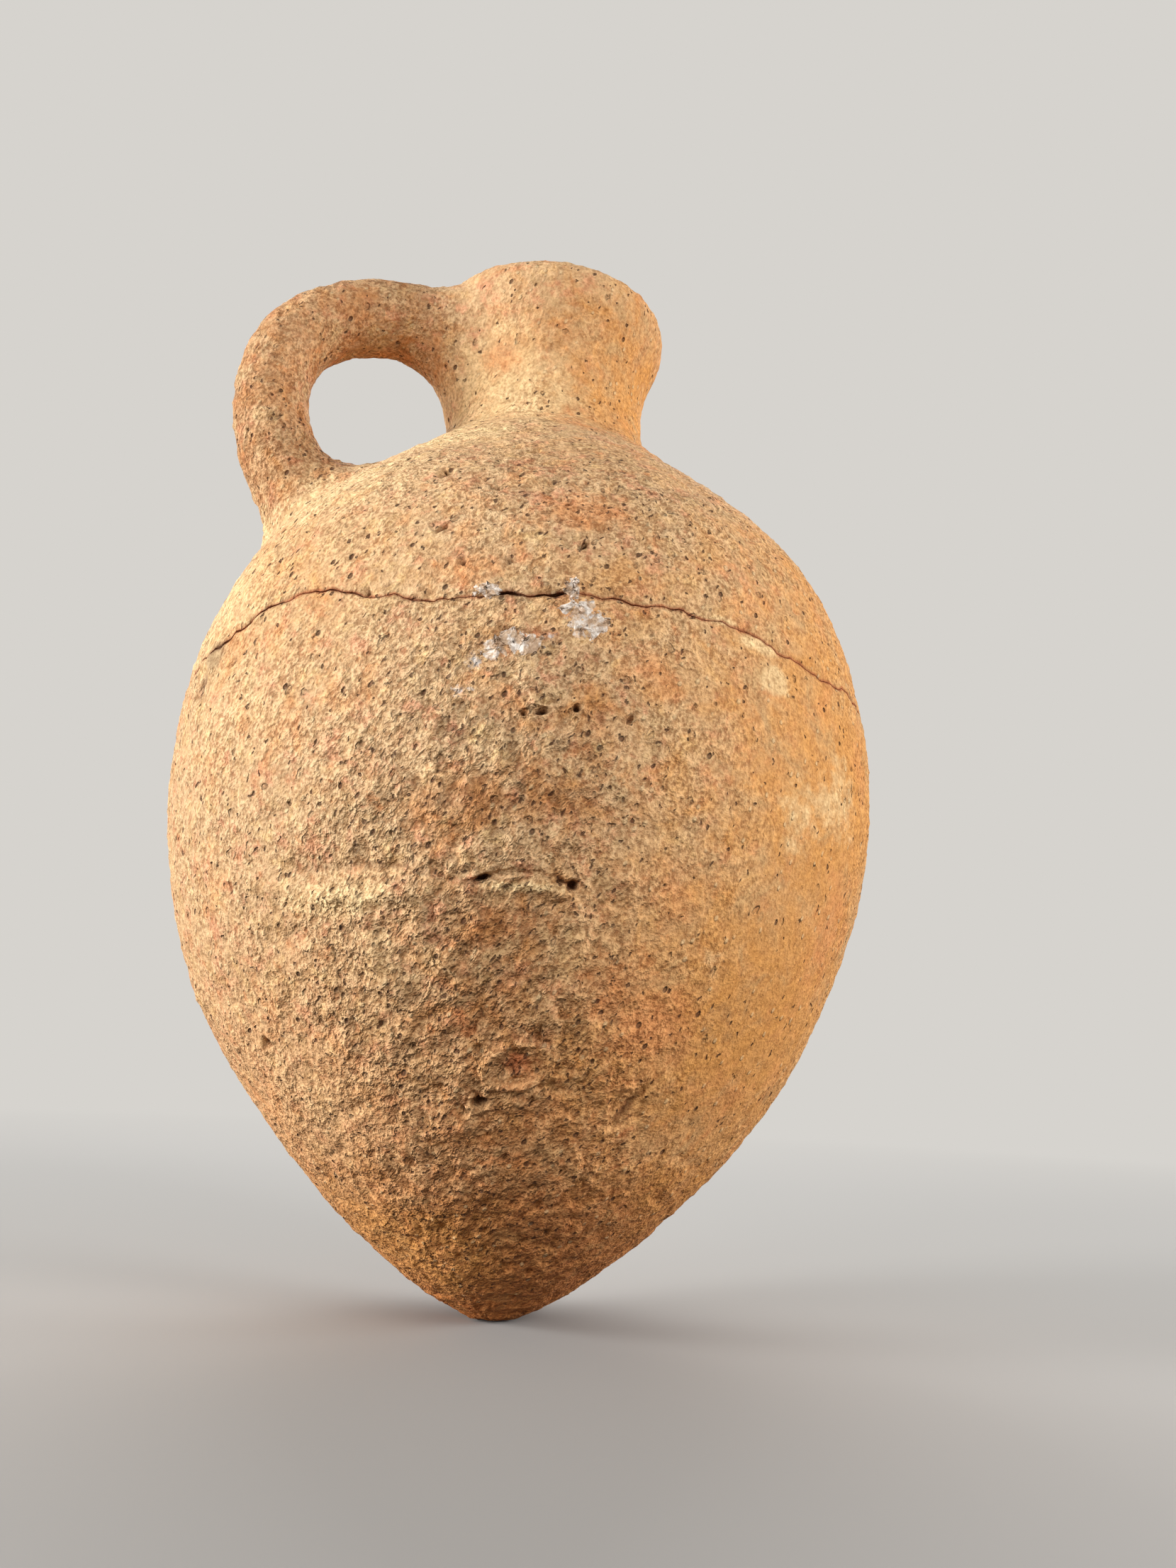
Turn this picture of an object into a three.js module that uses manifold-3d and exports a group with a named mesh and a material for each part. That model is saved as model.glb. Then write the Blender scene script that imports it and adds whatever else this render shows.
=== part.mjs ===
// Terracotta jug: a pointed, egg-shaped body in two halves that meet at a wavy break, a short
// flared neck, and one round loop handle luted on with smeared clay.
//
// Millimetres, +Z up. The origin is the middle of the worn flat under the point.
// The handle lies in the plane y = 0, on the -X side. Angles about the axis are counted from +X.

import * as THREE from 'three';
import * as BufferGeometryUtils from 'three/addons/utils/BufferGeometryUtils.js';
import Module from 'manifold-3d';

const wasm = await Module();
wasm.setup();

// Whole jug
const jugHeight = 200;
const bellyRadius = 65.5;
const bellyHeight = 91.5;
const tipFlatRadius = 4.4;
const neckHeight = 34;

// Walls
const bellyWall = 6;
const floorThickness = 14;
const wallStep = 8.5;
const bellyTurns = 60;
const neckTurns = 40;

// How full the outline is. Each fullness is how far a curve's end keeps its direction, as a share
// of the stretch that the curve fills.
const pointSlope = radians(27);
const pointFullness = 0.51;
const bellyFullnessBelow = 0.44;
const bellyFullnessAbove = 0.63;
const shoulderSlope = radians(43.7);
const shoulderFullness = 0.74;
const neckFootFullness = 0.4;
const rimFlareFullness = { leave: 0.5, arrive: 0.28 };
const mouthTaperFullness = { leave: 0.4, arrive: 0.5 };

// Break between the two halves of the body
const breakHeight = 109.2;
const breakGap = 0.4;
const breakBlend = 24;
const breakWaves = [
  { count: 2, height: 3.6, peak: radians(-113) },
  { count: 4, height: 1.5, peak: radians(-153) },
  { count: 7, height: 1.1, peak: radians(-145) },
  { count: 11, height: 0.6, peak: radians(-142) },
];

// Neck and its joint on the shoulder
const neckFootRadius = 22;
const neckWaistRadius = 20;
const neckWaistRise = 10;
const neckWall = 6;
const rimRadius = 24;
const rimWall = 6.6;
const lipRoundOut = { width: 3.5, drop: 5.5 };
const lipRoundIn = { width: 1.5, drop: 3 };
const mouthTaperDrop = 17;
const neckSeatThickness = 4;

// Clay joints: the hairline that lies between two pieces of clay
const clayGap = 0.3;

// Plug that closes the point
const plugRadius = 13;
const plugInnerRadius = 10;
const plugKnobHeight = 3;

// Clay smeared over the joints inside
const seamCoilHalfHeight = 12;
const seamCoilThickness = 3;
const seamCoilGap = 0.5;
const neckCoilThickness = 1.6;
const neckCoilRise = 6;
const neckCoilSpread = 6;
const coilEdgeThickness = 0.8;

// Loop handle: how far it reaches from the axis, how far below the lip its top and its side lie,
// and its thickness in the plane and width across it
const handleReach = 63.1;
const handleTopDrop = 2.2;
const handleSideDrop = 32.5;
const handleFootRadius = 46.6;
const handleRootDepth = 9;
const handleThickness = { neck: 14.4, side: 14, foot: 16.2 };
const handleWidth = { neck: 18, side: 16.6, foot: 18 };
const handleTopBend = 25.5;
const handleSideBendAbove = 20.5;
const handleSideBendBelow = 11;
const handleFootBend = 11;
const handleTopRise = radians(8);
const handleFootLean = radians(40);
const handleSides = 18;
const handleSteps = 26;

// Smeared clay round the two ends of the handle: how far it climbs the handle, and how far it
// spreads over the wall, each on the side out of the loop, on the side in the loop and sideways
const lutingCover = 0.9;
const lutingRootDepth = 3;
const topLuting = { climbOut: 4.5, climbIn: 13, spreadOut: 0.6, spreadIn: 15, spreadSide: 7 };
const footLuting = { climbOut: 9, climbIn: 11, spreadOut: 6, spreadIn: 18, spreadSide: 8 };
const lutingSteps = 7;

// White mending plaster smeared across the break
const plasterSides = 16;
const plasterSteps = 3;
const plasterThickness = 0.75;
const plasterEdgeThickness = 0.35;
const plasterLobes = [
  { count: 3, depth: 0.12 },
  { count: 5, depth: 0.08 },
];
const plasterPatches = [
  { name: 'plaster_patch_large', angle: radians(-101.5), rise: 0.6, across: 8.4, high: 11.5 },
  { name: 'plaster_patch_wide', angle: radians(-111), rise: -6.2, across: 9.6, high: 5.2 },
  { name: 'plaster_patch_small', angle: radians(-115), rise: 3.8, across: 5.6, high: 3.4 },
];

// Sizes that follow from the ones above
const neckJointHeight = jugHeight - neckHeight;
const neckWaistHeight = neckJointHeight + neckWaistRise;
const neckBoreRadius = neckWaistRadius - neckWall;
const mouthRadius = rimRadius - rimWall;

// Limits of the measuring: points nearer than this are one point, a search halves its stretch this
// often, and a slope is measured over this height
const samePoint = 1e-4;
const halvings = 40;
const slopeStep = 0.2;

// Clay colours
const clayBuff = { color: 0xc99a63, roughness: 0.92, metalness: 0 };
const clayOrange = { color: 0xbf8850, roughness: 0.92, metalness: 0 };
const clayBrown = { color: 0xa87446, roughness: 0.94, metalness: 0 };
const clayInside = { color: 0x9c6b43, roughness: 0.95, metalness: 0 };
const plasterWhite = { color: 0xd9cfc0, roughness: 0.97, metalness: 0 };

function radians(degrees) {
  return (degrees * Math.PI) / 180;
}

function mix(a, b, share) {
  return a + (b - a) * share;
}

function smooth(share) {
  const s = Math.min(Math.max(share, 0), 1);
  return s * s * (3 - 2 * s);
}

// Outline curves, as radius and height

function curve(...points) {
  return new THREE.CubicBezierCurve(...points.map(([r, z]) => new THREE.Vector2(r, z)));
}

// A curve that leaves and arrives upright
function uprightCurve(from, to, fullness) {
  const rise = to[1] - from[1];
  return curve(
    from,
    [from[0], from[1] + fullness.leave * rise],
    [to[0], to[1] - fullness.arrive * rise],
    to,
  );
}

function joined(...curves) {
  const path = new THREE.CurvePath();
  curves.forEach((piece) => path.add(piece));
  return path;
}

// The body's outline from the point out to the belly and in again to the neck, for a wall face
// whose point, belly and neck joint lie at the given places
function bodyOutline(pointRadius, pointHeight, slope, beltRadius, jointRadius, jointHeight) {
  const reachBelow = pointFullness * (beltRadius - pointRadius);
  const reachAbove = shoulderFullness * (beltRadius - jointRadius);
  return joined(
    curve(
      [pointRadius, pointHeight],
      [pointRadius + reachBelow * Math.cos(slope), pointHeight + reachBelow * Math.sin(slope)],
      [beltRadius, bellyHeight - bellyFullnessBelow * (bellyHeight - pointHeight)],
      [beltRadius, bellyHeight],
    ),
    curve(
      [beltRadius, bellyHeight],
      [beltRadius, bellyHeight + bellyFullnessAbove * (jointHeight - bellyHeight)],
      [
        jointRadius + reachAbove * Math.cos(shoulderSlope),
        jointHeight - reachAbove * Math.sin(shoulderSlope),
      ],
      [jointRadius, jointHeight],
    ),
  );
}

const bodyOutside = bodyOutline(
  tipFlatRadius, 0, pointSlope, bellyRadius, neckFootRadius, neckJointHeight,
);

const bodyInside = bodyOutline(
  0, floorThickness, 0, bellyRadius - bellyWall, neckBoreRadius, neckJointHeight - neckSeatThickness,
);

const neckOutside = joined(
  new THREE.QuadraticBezierCurve(
    new THREE.Vector2(neckFootRadius, neckJointHeight),
    new THREE.Vector2(neckWaistRadius, mix(neckJointHeight, neckWaistHeight, neckFootFullness)),
    new THREE.Vector2(neckWaistRadius, neckWaistHeight),
  ),
  uprightCurve(
    [neckWaistRadius, neckWaistHeight],
    [rimRadius, jugHeight - lipRoundOut.drop],
    rimFlareFullness,
  ),
  new THREE.EllipseCurve(
    rimRadius - lipRoundOut.width, jugHeight - lipRoundOut.drop,
    lipRoundOut.width, lipRoundOut.drop, 0, Math.PI / 2,
  ),
);

const neckInside = joined(
  new THREE.EllipseCurve(
    mouthRadius + lipRoundIn.width, jugHeight - lipRoundIn.drop,
    lipRoundIn.width, lipRoundIn.drop, Math.PI / 2, Math.PI,
  ),
  uprightCurve(
    [mouthRadius, jugHeight - lipRoundIn.drop],
    [neckBoreRadius, jugHeight - lipRoundIn.drop - mouthTaperDrop],
    mouthTaperFullness,
  ),
);

// The share of an outline at which a value of its points, such as their height, passes a level.
// The value only grows or only falls between the two shares that the search starts from.
function shareWhere(outline, valueOf, level, from = 0, to = 1) {
  let before = from;
  let after = to;
  const grows = valueOf(outline.getPoint(to)) > valueOf(outline.getPoint(from));
  for (let step = 0; step < halvings; step += 1) {
    const middle = (before + after) / 2;
    if (valueOf(outline.getPoint(middle)) < level === grows) before = middle;
    else after = middle;
  }
  return (before + after) / 2;
}

function shareAtHeight(outline, height) {
  return shareWhere(outline, (point) => point.y, height);
}

const bellyShare = {
  outside: shareAtHeight(bodyOutside, bellyHeight),
  inside: shareAtHeight(bodyInside, bellyHeight),
};

function radiusAtHeight(outline, height) {
  return outline.getPoint(shareAtHeight(outline, height)).x;
}

function outsideRadius(height) {
  return radiusAtHeight(height > neckJointHeight ? neckOutside : bodyOutside, height);
}

function insideRadius(height) {
  return radiusAtHeight(bodyInside, height);
}

// The height of the shoulder, outside or inside, at a radius
function shoulderHeight(outline, belly, radius) {
  return outline.getPoint(shareWhere(outline, (point) => point.x, radius, belly, 1)).y;
}

// Points along a stretch of an outline, both ends included and none further apart than a step
function stretch(outline, from, to, step) {
  const count = Math.ceil((Math.abs(to - from) * outline.getLength()) / step);
  const points = [];
  for (let i = 0; i <= count; i += 1) {
    points.push(outline.getPoint(mix(from, to, i / count)));
  }
  return points;
}

// Geometry helpers

// Only shared positions, with no empty triangles and with the faces pointing out
function cleaned(geometry) {
  const bare = new THREE.BufferGeometry();
  bare.setAttribute('position', geometry.getAttribute('position').clone());
  bare.setIndex(Array.from(geometry.index.array));
  const merged = BufferGeometryUtils.mergeVertices(bare, samePoint);
  const index = merged.index.array;
  const kept = [];
  for (let i = 0; i < index.length; i += 3) {
    const [a, b, c] = [index[i], index[i + 1], index[i + 2]];
    if (a !== b && b !== c && c !== a) kept.push(a, b, c);
  }
  if (enclosedVolume(merged.getAttribute('position'), kept) < 0) kept.reverse();
  merged.setIndex(kept);
  return merged;
}

function enclosedVolume(position, index) {
  const [a, b, c] = [new THREE.Vector3(), new THREE.Vector3(), new THREE.Vector3()];
  let volume = 0;
  for (let i = 0; i < index.length; i += 3) {
    a.fromBufferAttribute(position, index[i]);
    b.fromBufferAttribute(position, index[i + 1]);
    c.fromBufferAttribute(position, index[i + 2]);
    volume += a.dot(b.cross(c)) / 6;
  }
  return volume;
}

// A turned solid about the Z axis. The profile closes on itself or ends on the axis.
function turned(profile, turns) {
  const onAxis = profile[0].x < samePoint && profile[profile.length - 1].x < samePoint;
  const closed = onAxis ? profile : [...profile, profile[0]];
  const geometry = new THREE.LatheGeometry(closed, turns);
  geometry.rotateX(Math.PI / 2);
  return cleaned(geometry);
}

// A solid through rings of points that all have the same count, with a flat fan on each end
function lofted(rings) {
  const count = rings[0].length;
  const positions = rings.flat().flatMap((point) => [point.x, point.y, point.z]);
  const index = [];
  for (let ring = 0; ring < rings.length - 1; ring += 1) {
    for (let i = 0; i < count; i += 1) {
      const a = ring * count + i;
      const b = ring * count + ((i + 1) % count);
      index.push(a, b, a + count, b, b + count, a + count);
    }
  }
  for (const [first, flip] of [[0, true], [(rings.length - 1) * count, false]]) {
    const centre = positions.length / 3;
    const middle = new THREE.Vector3();
    for (let i = 0; i < count; i += 1) middle.add(rings[first / count][i]);
    middle.divideScalar(count);
    positions.push(middle.x, middle.y, middle.z);
    for (let i = 0; i < count; i += 1) {
      const a = first + i;
      const b = first + ((i + 1) % count);
      index.push(centre, flip ? b : a, flip ? a : b);
    }
  }
  const geometry = new THREE.BufferGeometry();
  geometry.setAttribute('position', new THREE.Float32BufferAttribute(positions, 3));
  geometry.setIndex(index);
  return cleaned(geometry);
}

function toSolid(geometry) {
  return new wasm.Manifold(new wasm.Mesh({
    numProp: 3,
    vertProperties: new Float32Array(geometry.getAttribute('position').array),
    triVerts: new Uint32Array(geometry.index.array),
  }));
}

function toGeometry(solid) {
  const mesh = solid.getMesh();
  const geometry = new THREE.BufferGeometry();
  geometry.setAttribute('position', new THREE.BufferAttribute(mesh.vertProperties, 3));
  geometry.setIndex(new THREE.BufferAttribute(mesh.triVerts, 1));
  return geometry;
}

const jug = new THREE.Group();

function add(name, geometry, finish) {
  geometry.computeVertexNormals();
  const mesh = new THREE.Mesh(geometry, new THREE.MeshStandardMaterial(finish));
  mesh.name = name;
  jug.add(mesh);
}

// The break's height above or below its mean at an angle about the axis
function breakWave(angle) {
  return breakWaves.reduce(
    (sum, wave) => sum + wave.height * Math.cos(wave.count * (angle - wave.peak)),
    0,
  );
}

// Bends the level edge of a turned half into the wavy break. The points near the edge slide up or
// down the wall, and keep to its inside or outside curve.
function waveEdge(geometry) {
  const position = geometry.getAttribute('position');
  for (let i = 0; i < position.count; i += 1) {
    const [x, y, z] = [position.getX(i), position.getY(i), position.getZ(i)];
    const radius = Math.hypot(x, y);
    const share = smooth(1 - Math.abs(z - breakHeight) / breakBlend);
    if (share === 0) continue;
    const height = z + share * breakWave(Math.atan2(y, x));
    const wallRadius = radius > (outsideRadius(z) + insideRadius(z)) / 2 ? outsideRadius : insideRadius;
    const scale = wallRadius(height) / wallRadius(z);
    position.setXYZ(i, x * scale, y * scale, height);
  }
  return geometry;
}

// Sub-parts

// The share at which the part of an outline below the belly reaches a radius
function shareOnPoint(outline, belly, radius) {
  return shareWhere(outline, (point) => point.x, radius, 0, belly);
}

function lowerBody() {
  const edge = breakHeight - breakGap / 2;
  const holeOutside = shareOnPoint(bodyOutside, bellyShare.outside, plugRadius);
  const holeInside = shareOnPoint(bodyInside, bellyShare.inside, plugInnerRadius);
  const profile = [
    ...stretch(bodyOutside, holeOutside, shareAtHeight(bodyOutside, edge), wallStep),
    ...stretch(bodyInside, shareAtHeight(bodyInside, edge), holeInside, wallStep),
  ];
  return waveEdge(turned(profile, bellyTurns));
}

function upperBody() {
  const edge = breakHeight + breakGap / 2;
  const top = shareAtHeight(bodyOutside, neckJointHeight - clayGap);
  const profile = [
    ...stretch(bodyOutside, shareAtHeight(bodyOutside, edge), top, wallStep),
    new THREE.Vector2(neckBoreRadius, neckJointHeight - clayGap),
    ...stretch(bodyInside, 1, shareAtHeight(bodyInside, edge), wallStep),
  ];
  return waveEdge(turned(profile, bellyTurns));
}

// The plug fills the tapered hole in the point, and its knob stands proud on the floor inside
function basePlug() {
  const rim = shareOnPoint(bodyOutside, bellyShare.outside, plugRadius - clayGap);
  const floor = bodyInside.getPoint(shareOnPoint(bodyInside, bellyShare.inside, plugInnerRadius));
  const knob = new THREE.EllipseCurve(
    0, floor.y, plugInnerRadius - clayGap, plugKnobHeight, 0, Math.PI / 2,
  );
  const profile = [
    new THREE.Vector2(0, 0),
    ...stretch(bodyOutside, 0, rim, wallStep / 2),
    ...knob.getPoints(5),
  ];
  return turned(profile, neckTurns);
}

// Clay smeared over the break inside: a low swelling that follows the inner wall
function innerSeamCoil() {
  const low = breakHeight - seamCoilHalfHeight;
  const high = breakHeight + seamCoilHalfHeight;
  const count = 5;
  const against = [];
  const inward = [];
  for (let i = 0; i <= count; i += 1) {
    const height = mix(low, high, i / count);
    const swell = Math.sin((Math.PI * i) / count);
    const face = insideRadius(height) - seamCoilGap;
    against.push(new THREE.Vector2(face, height));
    inward.push(new THREE.Vector2(face - mix(coilEdgeThickness, seamCoilThickness, swell), height));
  }
  return waveEdge(turned([...against, ...inward.reverse()], bellyTurns));
}

// Clay smeared round the foot of the bore: it lines the joint and spreads under the shoulder
function innerNeckCoil() {
  const seatUnderside = neckJointHeight - neckSeatThickness;
  const liningRadius = neckBoreRadius - clayGap;
  const innerRadius = liningRadius - neckCoilThickness;
  const count = 3;
  const under = [];
  const spread = [];
  for (let i = 1; i <= count; i += 1) {
    const radius = neckBoreRadius + (neckCoilSpread * i) / count;
    const underside = shoulderHeight(bodyInside, bellyShare.inside, radius) - clayGap;
    const thickness = mix(neckCoilThickness, coilEdgeThickness, i / count) / Math.cos(shoulderSlope);
    under.push(new THREE.Vector2(radius - clayGap, underside));
    spread.push(new THREE.Vector2(radius - clayGap, underside - thickness));
  }
  const profile = [
    new THREE.Vector2(liningRadius - coilEdgeThickness, neckJointHeight + neckCoilRise),
    new THREE.Vector2(liningRadius, neckJointHeight + neckCoilRise),
    new THREE.Vector2(liningRadius, seatUnderside - clayGap),
    ...under,
    ...spread.reverse(),
    new THREE.Vector2(innerRadius, seatUnderside - neckCoilThickness),
    new THREE.Vector2(innerRadius, neckJointHeight + neckCoilRise / 3),
  ];
  return turned(profile, neckTurns);
}

function neck() {
  const profile = [
    ...neckOutline(),
    ...neckInside.curves[0].getPoints(3),
    ...neckInside.curves[1].getPoints(5).slice(1),
    new THREE.Vector2(neckBoreRadius, neckJointHeight),
  ];
  return turned(profile, neckTurns);
}

function neckOutline() {
  const [foot, flare, lip] = neckOutside.curves;
  return [...foot.getPoints(3), ...flare.getPoints(6).slice(1), ...lip.getPoints(5).slice(1)];
}

// The outside of body and neck as one filled solid, swollen by the hairline of the clay joints.
// It cuts everything that is luted onto the outside.
function filledOutside() {
  const outline = [
    ...stretch(bodyOutside, 0, 1, wallStep / 2),
    ...neckOutline().slice(1),
  ];
  const swollen = outline.map((point, i) => {
    const before = outline[Math.max(i - 1, 0)];
    const after = outline[Math.min(i + 1, outline.length - 1)];
    const along = after.clone().sub(before).normalize();
    return new THREE.Vector2(point.x + along.y * clayGap, point.y - along.x * clayGap);
  });
  const lip = swollen[swollen.length - 1];
  const overhead = lip.y + neckHeight;
  const profile = [
    new THREE.Vector2(0, swollen[0].y),
    ...swollen,
    new THREE.Vector2(lip.x, overhead),
    new THREE.Vector2(0, overhead),
  ];
  return toSolid(turned(profile, bellyTurns));
}

// Middle line of the handle, from inside the neck wall round to inside the shoulder wall
function handlePath() {
  const topHeight = jugHeight - handleTopDrop - handleThickness.neck / 2;
  const sideHeight = jugHeight - handleSideDrop;
  const footHeight = shoulderHeight(bodyOutside, bellyShare.outside, handleFootRadius);
  const root = new THREE.Vector2(-(neckWaistRadius - handleRootDepth), topHeight);
  const side = new THREE.Vector2(handleThickness.side / 2 - handleReach, sideHeight);
  const footDirection = new THREE.Vector2(Math.sin(handleFootLean), -Math.cos(handleFootLean));
  const foot = new THREE.Vector2(-handleFootRadius, footHeight).addScaledVector(
    footDirection,
    handleRootDepth,
  );
  const rootAim = new THREE.Vector2(-Math.cos(handleTopRise), Math.sin(handleTopRise));
  return joined(
    new THREE.CubicBezierCurve(
      root,
      root.clone().addScaledVector(rootAim, handleTopBend),
      new THREE.Vector2(side.x, side.y + handleSideBendAbove),
      side,
    ),
    new THREE.CubicBezierCurve(
      side,
      new THREE.Vector2(side.x, side.y - handleSideBendBelow),
      foot.clone().addScaledVector(footDirection, -handleFootBend),
      foot,
    ),
  );
}

const handleLine = handlePath();
const handleLength = handleLine.getLength();

// The handle's thickness or width at a share of its length from the neck to the shoulder
function handleSize(share, size) {
  return share < 0.5
    ? mix(size.neck, size.side, smooth(share * 2))
    : mix(size.side, size.foot, smooth(share * 2 - 1));
}

// A point on the handle, or proud of it. The angle is counted round its section from the side
// that faces out of the loop.
function handlePoint(share, angle, proud) {
  const centre = handleLine.getPointAt(share);
  const along = handleLine.getTangentAt(share);
  const thickness = handleSize(share, handleThickness);
  const width = handleSize(share, handleWidth);
  const reach = Math.cos(angle) * (thickness / 2 + proud);
  return new THREE.Vector3(
    centre.x + along.y * reach,
    Math.sin(angle) * (width / 2 + proud),
    centre.y - along.x * reach,
  );
}

function sideAngles() {
  return Array.from({ length: handleSides }, (_, i) => (2 * Math.PI * i) / handleSides);
}

function handleSolid(swell) {
  const rings = [];
  for (let i = 0; i <= handleSteps; i += 1) {
    rings.push(sideAngles().map((angle) => handlePoint(i / handleSteps, angle, swell)));
  }
  return toSolid(lofted(rings));
}

// The wall's outside under a point, and the direction that stands out of it there
function onWall(point) {
  const height = Math.min(point.z, jugHeight - slopeStep);
  const radius = outsideRadius(height);
  const rise = outsideRadius(height + slopeStep) - outsideRadius(height - slopeStep);
  const slope = rise / (2 * slopeStep);
  const turn = Math.atan2(point.y, point.x);
  return {
    place: new THREE.Vector3(Math.cos(turn) * radius, Math.sin(turn) * radius, height),
    normal: new THREE.Vector3(Math.cos(turn), Math.sin(turn), -slope).normalize(),
  };
}

// The share of the handle's length at which one of its side lines runs into the wall
function shareAtWall(angle, atNeck) {
  let inside = atNeck ? 0 : 1;
  let clear = 0.5;
  for (let step = 0; step < halvings; step += 1) {
    const middle = (inside + clear) / 2;
    const point = handlePoint(middle, angle, 0);
    if (Math.hypot(point.x, point.y) < outsideRadius(point.z)) inside = middle;
    else clear = middle;
  }
  return clear;
}

// Smeared clay round one end of the handle. Along each side line of the handle it is a fillet,
// a quadratic curve that leaves the handle and runs out on the wall, tangent to both.
function lutingSolid(luting, atNeck) {
  const rings = Array.from({ length: lutingSteps + 2 }, () => []);
  for (const angle of sideAngles()) {
    const corner = shareAtWall(angle, atNeck);
    const outOfLoop = (1 + Math.cos(angle)) / 2;
    const climb = mix(luting.climbIn, luting.climbOut, outOfLoop) / handleLength;
    const inPlane = Math.cos(angle) > 0 ? luting.spreadOut : luting.spreadIn;
    const spread = mix(luting.spreadSide, inPlane, Math.abs(Math.cos(angle)));
    const middle = onWall(handlePoint(corner, angle, 0));
    const away = handlePoint(corner, angle, 1).sub(handlePoint(corner, angle, 0));
    away.addScaledVector(middle.normal, -away.dot(middle.normal)).normalize();
    const foot = onWall(middle.place.clone().addScaledVector(away, spread));
    const fillet = new THREE.QuadraticBezierCurve3(
      foot.place.clone().addScaledVector(foot.normal, lutingCover),
      middle.place.clone().addScaledVector(middle.normal, lutingCover).addScaledVector(away, lutingCover),
      handlePoint(atNeck ? corner + climb : corner - climb, angle, lutingCover),
    );
    rings[0].push(foot.place.clone().addScaledVector(foot.normal, -lutingRootDepth));
    for (let i = 0; i <= lutingSteps; i += 1) {
      rings[i + 1].push(fillet.getPoint(i / lutingSteps));
    }
  }
  return toSolid(lofted(rings));
}

function loopHandle(outside) {
  return toGeometry(handleSolid(0).subtract(outside));
}

function handleLuting(luting, atNeck, outside) {
  return toGeometry(lutingSolid(luting, atNeck).subtract(handleSolid(clayGap)).subtract(outside));
}

// One smear of plaster: a low irregular lens that lies on the wall, from an inner to an outer ring
function plasterPatch(patch) {
  const height = breakHeight + patch.rise;
  const seat = outsideRadius(height);
  const pointOn = (share, angle, proud) => {
    const lobes = plasterLobes.reduce(
      (sum, lobe) => sum + lobe.depth * Math.cos(lobe.count * angle + patch.angle),
      1,
    );
    const z = height + (share * lobes * Math.sin(angle) * patch.high) / 2;
    const turn = patch.angle + (share * lobes * Math.cos(angle) * patch.across) / (2 * seat);
    const radius = outsideRadius(z) + clayGap + proud;
    return new THREE.Vector3(Math.cos(turn) * radius, Math.sin(turn) * radius, z);
  };
  const ring = (share, proud) => Array.from(
    { length: plasterSides },
    (_, i) => pointOn(share, (2 * Math.PI * i) / plasterSides, proud),
  );
  const rings = [];
  for (let i = 1; i <= plasterSteps; i += 1) rings.push(ring(i / plasterSteps, 0));
  for (let i = plasterSteps; i >= 1; i -= 1) {
    const share = i / plasterSteps;
    rings.push(ring(share, mix(plasterThickness, plasterEdgeThickness, share ** 2)));
  }
  return lofted(rings);
}

const outside = filledOutside();

add('base_plug', basePlug(), clayBrown);
add('lower_body', lowerBody(), clayOrange);
add('upper_body', upperBody(), clayBuff);
add('inner_seam_coil', innerSeamCoil(), clayInside);
add('neck', neck(), clayBuff);
add('inner_neck_coil', innerNeckCoil(), clayInside);
add('loop_handle', loopHandle(outside), clayBuff);
add('handle_top_luting', handleLuting(topLuting, true, outside), clayBuff);
add('handle_foot_luting', handleLuting(footLuting, false, outside), clayBuff);
for (const patch of plasterPatches) {
  add(patch.name, plasterPatch(patch), plasterWhite);
}

export default jug;
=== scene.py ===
# %% [markdown]
# # A terracotta jug, mended across its belly
#
# The jug is thrown clay: an egg-shaped body that runs down to a point, a short flared neck and a
# loop handle. It once broke in two across the belly, and white plaster still sits on the break.
# This lesson makes its fired, worn surface round the plain measured model that is loaded first.
# Sizes are in millimetres, and angles about the jug's axis are in degrees from +X.

import math

import bpy
import numpy as np
from mathutils import Matrix, Vector


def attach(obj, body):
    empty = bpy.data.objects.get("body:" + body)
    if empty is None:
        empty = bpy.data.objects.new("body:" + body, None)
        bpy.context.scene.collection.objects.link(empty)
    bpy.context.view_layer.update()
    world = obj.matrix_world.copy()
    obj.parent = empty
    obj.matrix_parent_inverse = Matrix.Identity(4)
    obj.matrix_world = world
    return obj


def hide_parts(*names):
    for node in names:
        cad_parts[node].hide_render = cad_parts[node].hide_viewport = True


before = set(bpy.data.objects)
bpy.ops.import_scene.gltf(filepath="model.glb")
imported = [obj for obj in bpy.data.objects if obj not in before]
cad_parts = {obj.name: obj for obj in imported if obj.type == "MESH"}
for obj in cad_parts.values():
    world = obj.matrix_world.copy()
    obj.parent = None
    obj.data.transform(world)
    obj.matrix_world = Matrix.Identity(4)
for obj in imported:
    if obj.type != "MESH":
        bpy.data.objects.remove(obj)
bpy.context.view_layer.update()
MM = 0.001
print("measured parts:", sorted(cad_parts))

# %% [markdown]
# ## Camera, floor and lamps
#
# The jug was photographed from near the table, a little to its left and looking up. The camera is
# placed by its heading, its tilt and its small roll. The floor is pale and runs out into the pale
# background, and light that has struck it comes back dim, so that the jug's underside stays dark.

# %% The camera
camera_place = Vector((-70.85, -218.84, 43.36)) * MM
camera_heading = math.radians(21.02)
camera_tilt = math.radians(13.43)
camera_roll = math.radians(2.60)


def added(name, make, **settings):
    """The object that an operator makes, named, and selected alone."""
    bpy.ops.object.select_all(action="DESELECT")
    make(**settings)
    made = bpy.context.object
    made.name = name
    return made


camera = added("viewing_camera", bpy.ops.object.camera_add)
camera.data.lens = 27.59
camera.data.sensor_width = 36
camera.data.clip_start = 0.01
turned = Matrix.Rotation(-camera_heading, 4, "Z")
tilted = Matrix.Rotation(math.pi / 2 + camera_tilt, 4, "X")
rolled = Matrix.Rotation(camera_roll, 4, "Z")
camera.matrix_world = Matrix.Translation(camera_place) @ turned @ tilted @ rolled
bpy.context.scene.camera = camera
bpy.context.scene.view_settings.view_transform = "Standard"
print("camera at", [round(value, 3) for value in camera.location])

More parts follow.
